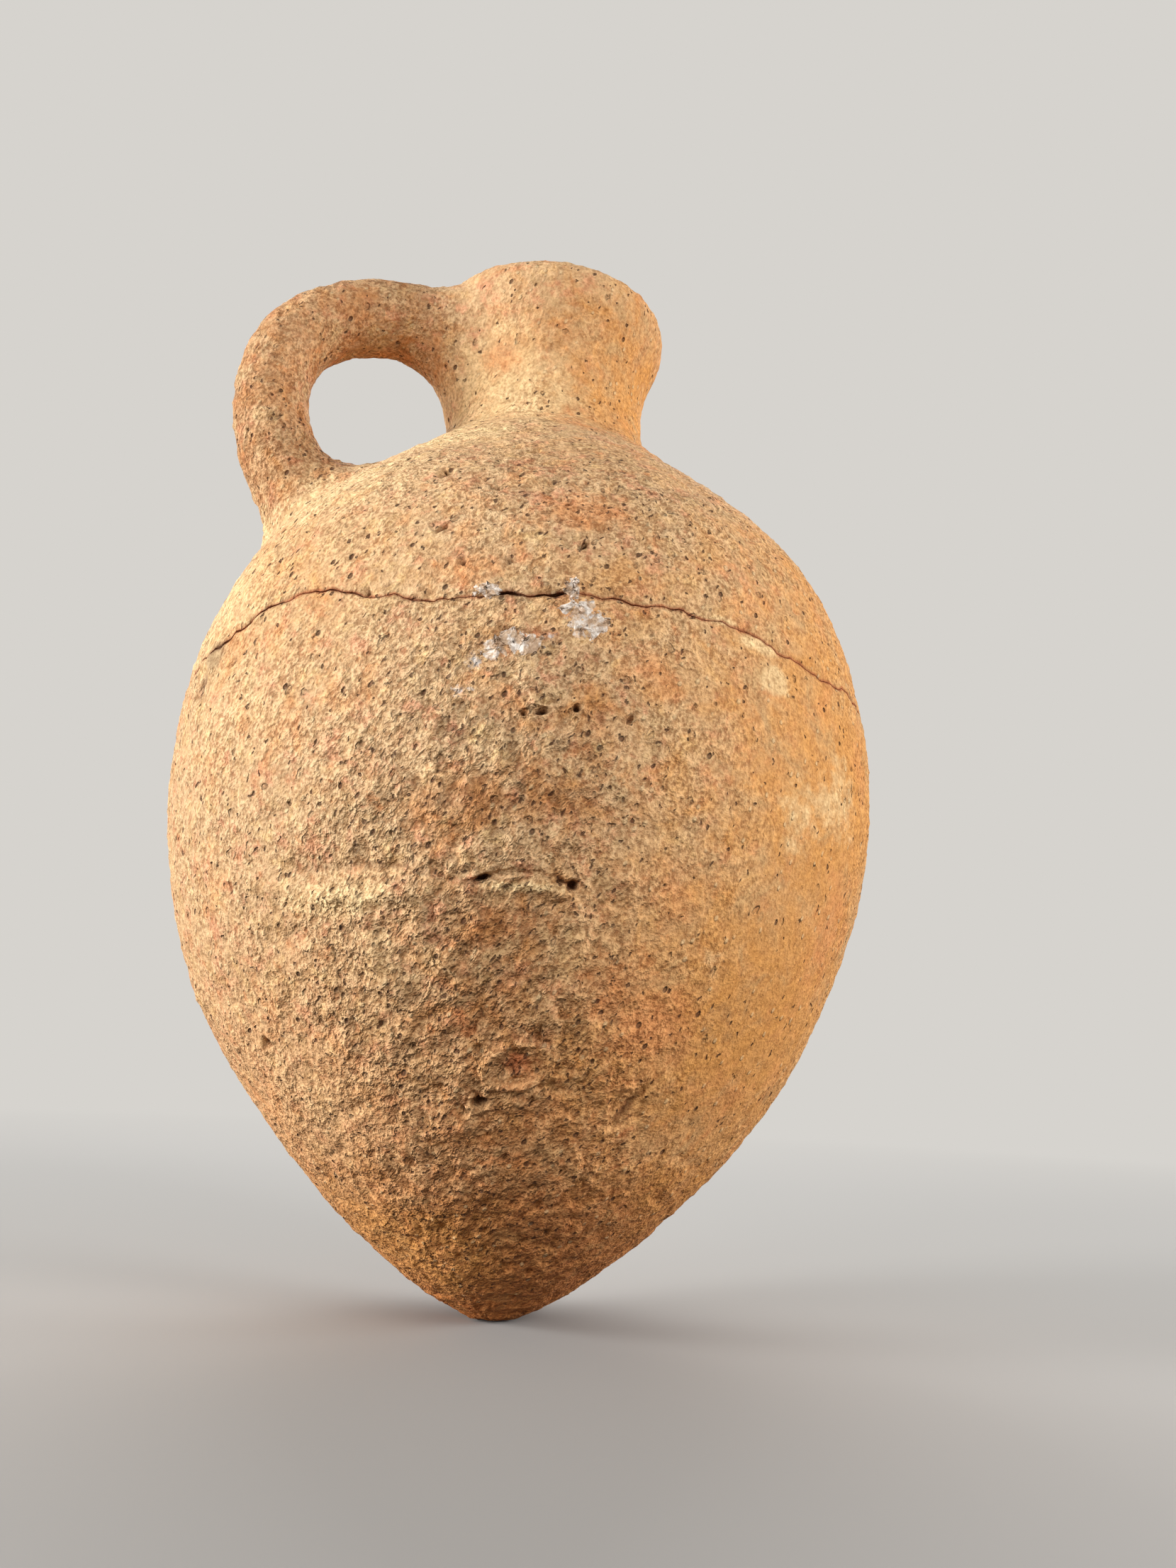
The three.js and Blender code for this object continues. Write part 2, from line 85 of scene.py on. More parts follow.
# %% Colours as they are read off a screen, and helpers for nodes
def screen_colour(red, green, blue):
    """A screen colour from 0 to 255 as the linear colour that Blender mixes, with full cover."""
    shares = [value / 255 for value in (red, green, blue)]
    linear = [s / 12.92 if s <= 0.04045 else ((s + 0.055) / 1.055) ** 2.4 for s in shares]
    return (*linear, 1.0)


def put(tree, kind, feeds=None, **settings):
    """Adds a node and returns its outputs. A feed is a value, or the socket that is linked."""
    node = tree.nodes.new(f"ShaderNode{kind}")
    for name, value in settings.items():
        setattr(node, name, value)
    for name, value in (feeds or {}).items():
        if isinstance(value, bpy.types.NodeSocket):
            tree.links.new(value, node.inputs[name])
        else:
            node.inputs[name].default_value = value
    return node.outputs


def empty_tree(owner):
    """The node tree of a new material or world, with nothing in it yet."""
    owner.use_nodes = True
    owner.node_tree.nodes.clear()
    return owner.node_tree


# %% The pale background, which only the camera and reflections see
backdrop_colour = screen_colour(214, 211, 206)
room_light = screen_colour(255, 252, 247)
room_strength = 0.18


def seen_or_scattered(tree, scattered, seen):
    """One shader for scattered light, one for what the camera, a mirror or a clear body shows."""
    rays = put(tree, "LightPath")
    share = rays["Is Camera Ray"]
    for other in ("Is Glossy Ray", "Is Transmission Ray"):
        share = put(tree, "Math", {0: share, 1: rays[other]}, operation="MAXIMUM")[0]
    return put(tree, "MixShader", {0: share, 1: scattered, 2: seen})[0]


world = bpy.data.worlds.new("plain_studio")
bpy.context.scene.world = world
tree = empty_tree(world)
dim = put(tree, "Background", {"Color": room_light, "Strength": room_strength})[0]
pale = put(tree, "Background", {"Color": backdrop_colour})[0]
put(tree, "OutputWorld", {"Surface": seen_or_scattered(tree, dim, pale)})

# %% The floor, which fades into the background away from the jug
floor_radius, fade_from, fade_to = 4.0, 0.26, 0.78
floor_colour, floor_return = screen_colour(172, 170, 167), screen_colour(116, 108, 98)

circle = {"vertices": 96, "radius": floor_radius, "fill_type": "TRIFAN"}
floor = added("studio_floor", bpy.ops.mesh.primitive_circle_add, **circle)
finish = bpy.data.materials.new("plain_pale_floor")
tree = empty_tree(finish)
place = put(tree, "TexCoord")["Object"]
distance = put(tree, "VectorMath", {0: place}, operation="LENGTH")["Value"]
fade = {"Value": distance, "From Min": fade_from, "From Max": fade_to}
away = put(tree, "MapRange", fade, interpolation_type="SMOOTHSTEP")[0]
shaded = put(tree, "BsdfDiffuse", {"Color": floor_colour})[0]
faded = put(tree, "Emission", {"Color": backdrop_colour})[0]
seen = put(tree, "MixShader", {0: away, 1: shaded, 2: faded})[0]
dim = put(tree, "BsdfDiffuse", {"Color": floor_return})[0]
put(tree, "OutputMaterial", {"Surface": seen_or_scattered(tree, dim, seen)})
floor.data.materials.append(finish)
print("floor radius", floor_radius, "m")

# %% The lamps: strong and low on the handle's side, weaker in front, to the right and behind
lamp_aim, lamp_distance = Vector((0, 0, 95)) * MM, 1.0
to_camera = Vector((-math.sin(camera_heading), -math.cos(camera_heading), 0))
to_right = Vector((math.cos(camera_heading), -math.sin(camera_heading), 0))

# Each row: name, angle from the camera round to the right, rise, size in metres and power.
lamps = [
    ("left_lamp", -75, 10, 0.30, 10.5),
    ("left_front_lamp", -42, 5, 0.30, 4.2),
    ("right_lamp", 88, 10, 0.30, 6.0),
    ("front_right_lamp", 42, 20, 0.35, 4.8),
    ("back_right_lamp", 165, 42, 0.50, 4.6),
    ("back_left_lamp", -158, 42, 0.50, 4.7),
]
for name, side, rise, size, power in lamps:
    turn, lift = math.radians(side), math.radians(rise)
    level = to_camera * math.cos(turn) + to_right * math.sin(turn)
    direction = level * math.cos(lift) + Vector((0, 0, math.sin(lift)))
    where = lamp_aim + direction * lamp_distance
    lamp = added(name, bpy.ops.object.light_add, type="AREA", location=where)
    lamp.rotation_euler = (-direction).to_track_quat("-Z", "Y").to_euler()
    lamp.data.shape = "SQUARE"
    lamp.data.size = size
    lamp.data.energy = power
print(len(lamps), "lamps")

# %% [markdown]
# ## The outline of the jug
#
# A thrown pot is one half outline turned about an axis, so the outline comes first. Its long
# curves are Bezier curves, with handles worked out from the slopes and fullnesses of the clay, and
# the lip is rounded by quarters of an ellipse.

# %% Driving sizes, in millimetres
jug_height = 200
belly_radius, belly_height, belly_wall = 65.5, 91.5, 6
tip_radius, floor_thickness = 4.4, 14
joint_height, foot_radius, bore_radius = 166, 22, 14
waist_radius, waist_height = 20, 176
rim_radius, mouth_radius, taper_drop = 24, 17.4, 17
lip_out_width, lip_out_drop = 3.5, 5.5
lip_in_width, lip_in_drop = 1.5, 3
seat_thickness, clay_gap = 4, 0.3
plug_radius, plug_inner_radius, knob_height = 13, 10, 3
point_slope, shoulder_slope = math.radians(27), math.radians(43.7)
point_fullness, shoulder_fullness = 0.51, 0.74
full_below, full_above = 0.44, 0.63
neck_foot_rise, flare_start, flare_end = 4, 0.5, 0.28
taper_start, taper_end = 0.4, 0.5
arc_steps = 40

# %% Bezier curves and the two outlines of the body
def bezier(*points, steps=300):
    """Points along the Bezier curve with these control points."""
    share = np.linspace(0, 1, steps + 1)[:, None]
    order = len(points) - 1
    curve = np.zeros((steps + 1, len(points[0])))
    for i, point in enumerate(points):
        curve += math.comb(order, i) * share**i * (1 - share) ** (order - i) * np.array(point, float)
    return curve


def in_turn(*lines):
    """Lines joined end to end, each shared point kept once."""
    return np.vstack([lines[0]] + [line[1:] for line in lines[1:]])


def body_outline(point_r, point_z, slope, belt_r, joint_r, joint_z):
    """Radius and height from the point out to the belly and in again to the neck."""
    below = point_fullness * (belt_r - point_r)
    above = shoulder_fullness * (belt_r - joint_r)
    lower = bezier(
        (point_r, point_z),
        (point_r + below * math.cos(slope), point_z + below * math.sin(slope)),
        (belt_r, belly_height - full_below * (belly_height - point_z)),
        (belt_r, belly_height),
    )
    upper = bezier(
        (belt_r, belly_height),
        (belt_r, belly_height + full_above * (joint_z - belly_height)),
        (joint_r + above * math.cos(shoulder_slope), joint_z - above * math.sin(shoulder_slope)),
        (joint_r, joint_z),
    )
    return in_turn(lower, upper)


underside = joint_height - seat_thickness
inner_belly = belly_radius - belly_wall
body_outside = body_outline(tip_radius, 0, point_slope, belly_radius, foot_radius, joint_height)
body_inside = body_outline(0, floor_thickness, 0, inner_belly, bore_radius, underside)

# %% The neck: a hollow foot, a flare, a rounded lip and the mouth that narrows to the bore
def quarter_round(centre, width, height, start):
    """A quarter of an ellipse, turning from a start angle towards the mouth."""
    turn = start + np.linspace(0, math.pi / 2, arc_steps)
    return np.column_stack([centre[0] + width * np.cos(turn), centre[1] + height * np.sin(turn)])


lip_height = jug_height - lip_out_drop
flare = lip_height - waist_height
mouth_height = jug_height - lip_in_drop
taper_foot = mouth_height - taper_drop
lip_out, lip_in = (rim_radius - lip_out_width, lip_height), (mouth_radius + lip_in_width, mouth_height)
neck_outside = in_turn(
    bezier(
        (foot_radius, joint_height), (waist_radius, joint_height + neck_foot_rise),
        (waist_radius, waist_height),
    ),
    bezier(
        (waist_radius, waist_height), (waist_radius, waist_height + flare_start * flare),
        (rim_radius, lip_height - flare_end * flare), (rim_radius, lip_height),
    ),
    quarter_round(lip_out, lip_out_width, lip_out_drop, 0),
)
neck_inside = np.vstack([
    quarter_round(lip_in, lip_in_width, lip_in_drop, math.pi / 2),
    bezier(
        (mouth_radius, mouth_height), (mouth_radius, mouth_height - taper_start * taper_drop),
        (bore_radius, taper_foot + taper_end * taper_drop), (bore_radius, taper_foot),
    )[1:],
    [[bore_radius, joint_height]],
])
wall_line = in_turn(body_outside, neck_outside)


def outside_radius(height):
    """The jug's outer radius at a height."""
    return np.interp(height, wall_line[:, 1], wall_line[:, 0])


def inside_radius(height):
    """The body's inner radius at a height."""
    return np.interp(height, body_inside[:, 1], body_inside[:, 0])


def height_below(line, radius):
    """The height at which the lower part of an outline reaches a radius."""
    low = line[line[:, 1] < belly_height]
    return float(np.interp(radius, low[:, 0], low[:, 1]))


def height_above(line, radius):
    """The heights at which its shoulder comes in to these radii."""
    high = line[line[:, 1] > belly_height][::-1]
    return np.interp(radius, high[:, 0], high[:, 1])


print("wall between", round(float(outside_radius(100) - inside_radius(100)), 2), "mm thick")

# %% [markdown]
# ## One skin of clay
#
# The fired surface runs over every joint without a step, so the whole outside is made as one skin,
# worn as one skin, and only then parted into point, lower half, upper half and neck. The half
# outline is drawn vertex by vertex and turned round the axis by a Screw modifier that doesn't climb.
# Rows lie closer near the break, where the edge of the clay is worn, and on the neck.

# %% Rows a step apart, and the stretch of an outline between two heights
def lengths_along(line):
    """How far each point of a line lies from its start, measured along it."""
    return np.r_[0, np.cumsum(np.hypot(*np.diff(line, axis=0).T))]


def even_rows(line, step):
    """The same line with its rows a step apart and its two ends kept."""
    lengths = lengths_along(line)
    even = np.linspace(0, lengths[-1], max(1, round(lengths[-1] / step)) + 1)
    return np.column_stack([np.interp(even, lengths, line[:, side]) for side in (0, 1)])


def between(line, low, high):
    """The stretch of a rising line between two heights."""
    middle = line[(line[:, 1] > low) & (line[:, 1] < high)]
    ends = [[np.interp(height, line[:, 1], line[:, 0]), height] for height in (low, high)]
    return np.vstack([ends[:1], middle, ends[1:]])


# %% Editing one piece: what is selected, and modifiers
def only(piece):
    """Selects this piece alone, so that the next operator acts on it and nothing else."""
    bpy.ops.object.select_all(action="DESELECT")
    piece.select_set(True)
    bpy.context.view_layer.objects.active = piece


def start_edit(piece, kind="vertices", chosen=None):
    """Edit mode on one piece, with the chosen edges or faces selected, or else everything."""
    only(piece)
    kinds = ("vertices", "edges", "polygons")
    bpy.context.tool_settings.mesh_select_mode = tuple(name == kind for name in kinds)
    if chosen is not None:
        for name in kinds:
            elements = getattr(piece.data, name)
            none = np.zeros(len(elements), bool)
            elements.foreach_set("select", chosen if name == kind else none)
    bpy.ops.object.mode_set(mode="EDIT")
    if chosen is None:
        bpy.ops.mesh.select_all(action="SELECT")


def end_edit():
    """Back to object mode."""
    bpy.ops.object.mode_set(mode="OBJECT")


def modify(piece, kind, **settings):
    """Puts a modifier with these settings on a piece and applies it."""
    only(piece)
    bpy.ops.object.modifier_add(type=kind)
    modifier = piece.modifiers[-1]
    for name, value in settings.items():
        setattr(modifier, name, value)
    bpy.ops.object.modifier_apply(modifier=modifier.name)


# %% Drawing a line by extruding a vertex, and turning it as on a wheel
merge_distance = 0.000001


def made_sound(piece):
    """Merges doubles and points all faces out."""
    start_edit(piece)
    bpy.ops.mesh.remove_doubles(threshold=merge_distance)
    bpy.ops.mesh.normals_make_consistent(inside=False)
    end_edit()


def spin_line(name, line, turns):
    """A line drawn in the plane y = 0 and turned once about the jug's axis."""
    piece = added(name, bpy.ops.mesh.primitive_plane_add, size=MM)
    start_edit(piece)
    bpy.ops.mesh.merge(type="CENTER")
    bpy.ops.transform.translate(value=(line[0][0] * MM, 0, line[0][1] * MM))
    for step_r, step_z in np.diff(line, axis=0):
        move = {"value": (step_r * MM, 0, step_z * MM)}
        bpy.ops.mesh.extrude_region_move(TRANSFORM_OT_translate=move)
    end_edit()
    modify(
        piece, "SCREW", angle=2 * math.pi, steps=turns, use_merge_vertices=True,
        merge_threshold=merge_distance,
    )
    made_sound(piece)
    return piece


# %% Reading and writing what a mesh holds, in millimetres
def read(elements, name, width=1, kind=np.float32):
    """What the vertices, edges, faces or an attribute of a mesh hold under a name, in rows."""
    flat = np.zeros(len(elements) * width, kind)
    elements.foreach_get(name, flat)
    return flat.reshape(-1, width) if width > 1 else flat


def points_of(piece):
    """A piece's vertices, one row each."""
    return read(piece.data.vertices, "co", 3).astype(float) / MM


def face_centres(piece):
    """The middles of a piece's faces."""
    return read(piece.data.polygons, "center", 3).astype(float) / MM


def place_points(piece, points):
    """Puts a piece's vertices at these places."""
    piece.data.vertices.foreach_set("co", (points * MM).astype(np.float32).ravel())
    piece.data.update()


def round_axis(points):
    """How far points lie from the jug's axis, and their angles round it in radians."""
    return np.hypot(points[:, 0], points[:, 1]), np.arctan2(points[:, 1], points[:, 0])


def write_mask(piece, name, values):
    """Writes one number per vertex as an attribute that the material can read."""
    layers = piece.data.attributes
    layer = layers[name] if name in layers else layers.new(name, "FLOAT", "POINT")
    layer.data.foreach_set("value", values.astype(np.float32))


# %% The skin itself
break_height, edge_rows = 109.2, 2.0
turns = 512
row_step, edge_row_step, neck_row_step, bore_row_step = 0.86, 0.34, 0.62, 1.0
tip_flat, tip_round_rise = 2.4, 1.3

plug_rim = height_below(body_outside, plug_radius)
tip_round_end = (float(outside_radius(tip_round_rise)), tip_round_rise)
levels = [
    tip_round_rise, plug_rim, break_height - edge_rows, break_height, break_height + edge_rows,
    joint_height,
]
steps = [row_step, row_step, edge_row_step, edge_row_step, row_step]
skin_line = in_turn(
    even_rows(np.array([[0, 0], [tip_flat, 0]], float), row_step),
    even_rows(bezier((tip_flat, 0), (tip_radius, 0), tip_round_end, steps=arc_steps), row_step),
    *[
        even_rows(between(body_outside, low, high), step)
        for low, high, step in zip(levels, levels[1:], steps)
    ],
    even_rows(neck_outside, neck_row_step),
    even_rows(neck_inside, bore_row_step),
)
skin = spin_line("jug_skin", skin_line, turns)
print("skin:", len(skin.data.polygons), "faces in", len(skin_line), "rows")

# %% [markdown]
# ## Which clay each face belongs to
#
# While the rows are still level it is easy to say which face is point, lower half, upper half or
# neck. The answer is kept on the faces as a number, and it stays true when the rows are bent.

# %% Numbering the parts of the skin from the point up
part = np.searchsorted([plug_rim, break_height, joint_height], face_centres(skin)[:, 2])
label = skin.data.attributes.new("part", "INT", "FACE")
label.data.foreach_set("value", part.astype(np.int32))
print("faces in each part:", np.bincount(part).tolist())

# %% [markdown]
# ## Finer clay where there are marks
#
# A pit of one millimetre needs closer vertices than a smooth wall. The faces round the worst
# marks are selected by their place and subdivided while the wall is still smooth.

# %% Places on the wall
lean_step = 0.2


def lean_at(height):
    """How much the outer radius grows for each millimetre up."""
    return (outside_radius(height + lean_step) - outside_radius(height - lean_step)) / (2 * lean_step)


def wall_frame(azimuth, height):
    """A place on the outside with the directions along the wall, up it and out of it."""
    turn = math.radians(azimuth)
    radius = float(outside_radius(height))
    out = np.array([math.cos(turn), math.sin(turn), -float(lean_at(height))])
    out /= np.linalg.norm(out)
    along = np.array([-math.sin(turn), math.cos(turn), 0.0])
    up = np.cross(out, along)
    return np.array([math.cos(turn) * radius, math.sin(turn) * radius, height]), along, up, out


def nearness(points, azimuth, height, across, high, turn=0.0, deep=5.0):
    """How far points lie from a place, as 1 on an ellipsoid with these half sizes."""
    centre, along, up, out = wall_frame(azimuth, height)
    offset = points - centre
    tilt = math.radians(turn)
    flat_x, flat_y, depth = offset @ along, offset @ up, offset @ out
    x = flat_x * math.cos(tilt) + flat_y * math.sin(tilt)
    y = flat_y * math.cos(tilt) - flat_x * math.sin(tilt)
    return np.sqrt((x / across) ** 2 + (y / high) ** 2 + (depth / deep) ** 2)


def heaped(points, rows, start=0.0, power=2):
    """Mounds on a start, each with a place, half sizes and a rise. A higher power is steeper."""
    return sum((rise * np.exp(-nearness(points, *place) ** power) for *place, rise in rows), start)


# %% Choosing faces by place (azimuth, height and half sizes) and subdividing them
fine_places = [
    (-107.3, 69.4, 11, 4.5), (-154.8, 45.5, 2.5, 2.5), (-112.6, 38.1, 2.8, 2.6), (-106.5, 93, 3, 2),
    (-102, 93.8, 2.2, 2), (-124.8, 136.4, 2.4, 1.9), (-122.2, 123, 2, 1.6), (-101.5, 121, 2, 1.7),
    (-118.2, 116.7, 1.6, 1.5), (-131.6, 112.2, 1.8, 1.6), (-109.8, 144.4, 1.5, 1.4),
    (-103.7, 129.6, 1.5, 1.4), (-111.9, 117.2, 1.5, 1.4), (-106.5, 43.6, 7.2, 5.2), (-86.3, 37.4, 5, 5),
]
fine_cuts = 2

middles = face_centres(skin)
near_mark = np.any([nearness(middles, *place) < 1 for place in fine_places], axis=0)
start_edit(skin, "polygons", near_mark)
bpy.ops.mesh.subdivide(number_cuts=fine_cuts)
end_edit()
print("skin with finer marks:", len(skin.data.polygons), "faces")

# %% [markdown]
# ## The wavy line of the break
#
# The break doesn't run level: it rises and falls in a few long waves, with small teeth on them.
# Points slide up or down the wall and keep to its curve, so the wall stays round.

# %% Bending the rows near the break. Each wave: how many go round, how high, and where one peaks
break_blend, tooth_blend = 24, 3.5
break_waves = [(2, 3.6, -113), (4, 1.5, -153), (7, 1.1, -145), (11, 0.6, -142)]
break_teeth = [(29, 0.22, 10), (47, 0.17, 95), (71, 0.13, 40), (109, 0.09, 170), (163, 0.06, 65)]


def waves(angle, rows):
    """The sum of these waves at angles round the jug."""
    return sum(high * np.cos(count * (angle - math.radians(peak))) for count, high, peak in rows)


def break_line(angle):
    """The height of the break at angles round the jug."""
    return break_height + waves(angle, break_waves) + waves(angle, break_teeth)


def smooth(share):
    """Runs from 0 to 1 with a soft start and end."""
    held = np.clip(share, 0, 1)
    return held * held * (3 - 2 * held)


def bent_to_break(points):
    """Points moved up or down the wall, so that the level break becomes the wavy one."""
    radius, angle = round_axis(points)
    z = points[:, 2]
    off = np.abs(z - break_height)
    lift = smooth(1 - off / break_blend) * waves(angle, break_waves)
    lift = lift + smooth(1 - off / tooth_blend) * waves(angle, break_teeth)
    outer = radius > (outside_radius(z) + inside_radius(z)) / 2
    before = np.where(outer, outside_radius(z), inside_radius(z))
    after = np.where(outer, outside_radius(z + lift), inside_radius(z + lift))
    scale = np.where(lift == 0, 1, after / np.maximum(before, 1))
    return np.column_stack([points[:, 0] * scale, points[:, 1] * scale, z + lift])


place_points(skin, bent_to_break(points_of(skin)))
once_round = np.linspace(-math.pi, math.pi, 721)
line = break_line(once_round)
print("the break lies between", round(float(line.min()), 1), "and", round(float(line.max()), 1))

# %% [markdown]
# ## Hand-made unevenness
#
# No thrown pot is quite round. These broad swells and hollows are where the photographed outline
# leaves the turned one: a leaner left shoulder, fuller flanks low down, and a rim that dips.

# %% Broad swells: azimuth, height, half sizes and how far the wall moves out
broad_swells = [
    (178, 124, 26, 11, -0.75), (-178, 52, 24, 14, 0.65), (-34, 34, 24, 16, 0.65), (-34, 101, 24, 9, 0.55),
    (-150, 26, 14, 12, -0.5), (-60, 62, 26, 16, -0.35), (40, 70, 30, 26, 0.5), (110, 60, 26, 22, -0.6),
    (95, 118, 22, 14, 0.5),
]
rim_dip_side, rim_dip = -12, 0.45
steepest_lean, axis_clearance = 3, 0.001


def moved_out(points, amount):
    """Points moved square to the wall by an amount."""
    x, y, z = points.T
    radius = np.maximum(np.hypot(x, y), axis_clearance)
    lean = np.clip(lean_at(z), -steepest_lean, steepest_lean)
    size = np.sqrt(1 + lean**2)
    out = np.column_stack([x / radius / size, y / radius / size, -lean / size])
    return points + out * amount[:, None]


def made_uneven(points):
    """Points moved by the broad swells, with the rim a little lower on its far side."""
    moved = moved_out(points, heaped(points, broad_swells))
    radius, angle = round_axis(points)
    near_rim = smooth((points[:, 2] - waist_height) / (jug_height - waist_height))
    far_side = 0.5 + 0.5 * np.cos(angle - math.radians(rim_dip_side))
    moved[:, 2] -= rim_dip * near_rim * far_side * radius / rim_radius
    return moved


smooth_points = made_uneven(points_of(skin))
place_points(skin, smooth_points)
print(len(broad_swells), "broad swells")

# %% [markdown]
# ## Worn relief
#
# Sand and salt have eaten the surface. The middle of the front and the point are rough and lumpy,
# the right flank and the neck nearly smooth. Each layer of relief is a Displace modifier with a
# procedural texture in the jug's own coordinates, so that the same relief runs on over the handle.
# A vertex group says how strong it is at each place.

# %% How rough the clay is: azimuth, height, half sizes and how much rougher
rough_places = [
    (-113, 84, 26, 26, 0.6), (-112, 46, 30, 26, 0.62), (-125, 62, 24, 18, 0.25), (-114, 20, 22, 16, 0.45),
    (150, 60, 34, 30, 0.35), (60, 50, 34, 30, 0.35), (20, 110, 26, 18, 0.25), (-62, 84, 24, 36, -0.24),
    (-62, 50, 24, 30, -0.28), (-102, 134, 26, 15, 0.3), (-98, 114, 22, 12, 0.15), (-70, 110, 22, 16, -0.1),
]
plain_roughness, neck_roughness, handle_roughness, least_roughness = 0.38, 0.20, 0.22, 0.1
neck_from, neck_blend = 150, 26
handle_from_wall, handle_blend = 1, 4
group_levels = 40


def off_wall(points):
    """How far points lie outside the turned wall."""
    return round_axis(points)[0] - outside_radius(points[:, 2])


def roughness_at(points):
    """How worn the clay is, from 0 for wiped smooth to 1 for eaten rough."""
    above = smooth((points[:, 2] - neck_from) / neck_blend)
    rough = plain_roughness + (neck_roughness - plain_roughness) * above
    rough = heaped(points, rough_places, start=rough)
    on_handle = smooth((off_wall(points) - handle_from_wall) / handle_blend)
    return np.clip(rough + handle_roughness * on_handle, least_roughness, 1)


def paint_group(piece, name, weights):
    """A vertex group with these weights, rounded to a few levels so that it is quick to fill."""
    group = piece.vertex_groups.new(name=name)
    rounded = np.round(np.clip(weights, 0, 1) * group_levels).astype(int)
    for level in range(1, group_levels + 1):
        group.add(np.flatnonzero(rounded == level).tolist(), level / group_levels, "REPLACE")


# %% The textures of the relief, largest first
def cloud_texture(name, size, depth, hard=False, basis="BLENDER_ORIGINAL"):
    """A cloudy texture whose lumps are about this many millimetres apart."""
    texture = bpy.data.textures.new(name, type="CLOUDS")
    texture.noise_scale = size * MM
    texture.noise_depth = depth
    texture.noise_type = "HARD_NOISE" if hard else "SOFT_NOISE"
    texture.noise_basis = basis
    return texture


def hollow_texture(name, size, from_share, to_share):
    """Separate hollows about this many millimetres apart, with flat clay between them."""
    texture = cloud_texture(name, size, 2)
    texture.use_color_ramp = True
    ends = texture.color_ramp.elements
    ends[0].position, ends[0].color = from_share, (0, 0, 0, 1)
    ends[1].position, ends[1].color = to_share, (1, 1, 1, 1)
    return texture


# Each row: texture, depth, the grey that stays in place, and the group that weights it.
relief_layers = [
    (cloud_texture("hand_waves", 26, 1), 0.9, 0.5, ""),
    (cloud_texture("lumps", 6.0, 2), 1.1, 0.5, "rough"),
    (cloud_texture("crumbs", 2.3, 2), 1.05, 0.5, "rough"),
    (cloud_texture("edges", 3.8, 1, hard=True, basis="IMPROVED_PERLIN"), 0.4, 0.3, "rough"),
    (hollow_texture("hollows", 2.4, 0.22, 0.42), 0.75, 1.0, "rough"),
    (cloud_texture("sand", 1.7, 1), 0.5, 0.5, ""),
]


def wear(piece):
    """Presses all layers of relief into a piece."""
    paint_group(piece, "rough", roughness_at(points_of(piece)))
    for texture, depth, middle, group in relief_layers:
        modify(
            piece, "DISPLACE", texture=texture, texture_coords="LOCAL", strength=depth * MM,
            mid_level=middle, vertex_group=group,
        )


wear(skin)
moved_by = np.linalg.norm(points_of(skin) - smooth_points, axis=1)
print("relief moved the skin by up to", round(float(moved_by.max()), 2), "mm")

# %% [markdown]
# ## Pits, the scar and the flakes
#
# Some marks are seen from a step away: a scar with a dark hole at each end, round pits, a raised
# ring, and a flake off the lower right. Each is pressed in at its place on the wall. How deep a
# point was pressed is remembered, and the finish paints shade there, darker where it is deeper.

# %% Pits: azimuth, height, half sizes, turn and depth
pits = [
    (-154.8, 45.5, 0.95, 0.85, 0, 1.5), (-112.6, 38.1, 1.15, 0.8, 25, 1.6),
    (-106.5, 93, 1.05, 0.45, 12, 1.5), (-108.6, 92.6, 0.6, 0.4, 10, 1), (-102, 93.8, 0.55, 0.5, 0, 1.7),
    (-124.8, 136.2, 1.15, 0.8, 35, 1.7), (-125.4, 137.3, 0.6, 0.35, 120, 1.1),
    (-122.2, 123, 0.95, 0.42, 40, 1.9), (-101.5, 121, 1.1, 0.42, 62, 1.4), (-107, 132, 0.8, 0.5, 10, 0.6),
    (-104.5, 144, 0.9, 0.7, 0, 0.6), (-122.9, 3.5, 0.7, 0.6, 0, 0.8), (-128.3, 48.7, 0.9, 0.8, 0, 0.9),
    (-114.3, 68.5, 0.8, 0.4, 18, 0.7), (-113, 69, 1, 0.5, 24, 1.5), (-100.9, 68.7, 0.85, 0.75, 0, 2),
    (-102.3, 69.1, 0.7, 0.4, 0, 0.8), (-155.5, 104.5, 1.2, 0.8, 30, 1.1),
    (-165.4, 103.3, 2.2, 3.2, 20, 0.9), (-161.8, 107.3, 1.7, 1.2, 30, 0.5),
    (-111.5, 104.5, 1.1, 0.8, 20, 0.8), (-86.3, 37.4, 3.6, 4.6, 30, 0.55), (-84, 40.6, 2.2, 1.2, 40, 0.35),
]
pit_power, pit_lip, pit_lip_at, pit_lip_width = 3.2, 0.10, 1.7, 0.45

# %% Dark pits: azimuth, height and size
dark_pits = [
    (-109.8, 144.4, 0.8), (-103.7, 129.6, 0.55), (-119.5, 129.6, 0.5), (-111.9, 117.2, 0.55),
    (-111, 128.3, 0.45), (-131.6, 112.2, 0.8), (-149.3, 128.5, 0.55), (-133.9, 122.8, 0.45),
    (-127, 118.8, 0.5), (-104.9, 126.2, 0.5), (-115.5, 132.3, 0.45), (-128.6, 113.3, 0.55),
    (-118.2, 116.7, 0.65), (-109.2, 115.5, 0.45), (-140.4, 80, 0.6), (-144.1, 89.1, 0.5),
    (-134, 89.4, 0.45), (-149, 93.2, 0.45), (-152.9, 93, 0.5), (-125.6, 79.2, 0.5), (-153.5, 68.3, 0.7),
    (-117.7, 90, 0.55), (-81.2, 95.6, 0.5), (-95, 93.1, 0.45), (-111.9, 105.7, 0.6), (-77.2, 95.6, 0.45),
    (-87.1, 86.2, 0.45),
]
flatness, dark_pit_turn, dark_pit_depth, dark_pit_power = 0.8, 30, 1.1, 2.6
dark_pits = [(*place, size, flatness * size, dark_pit_turn, dark_pit_depth) for *place, size in dark_pits]

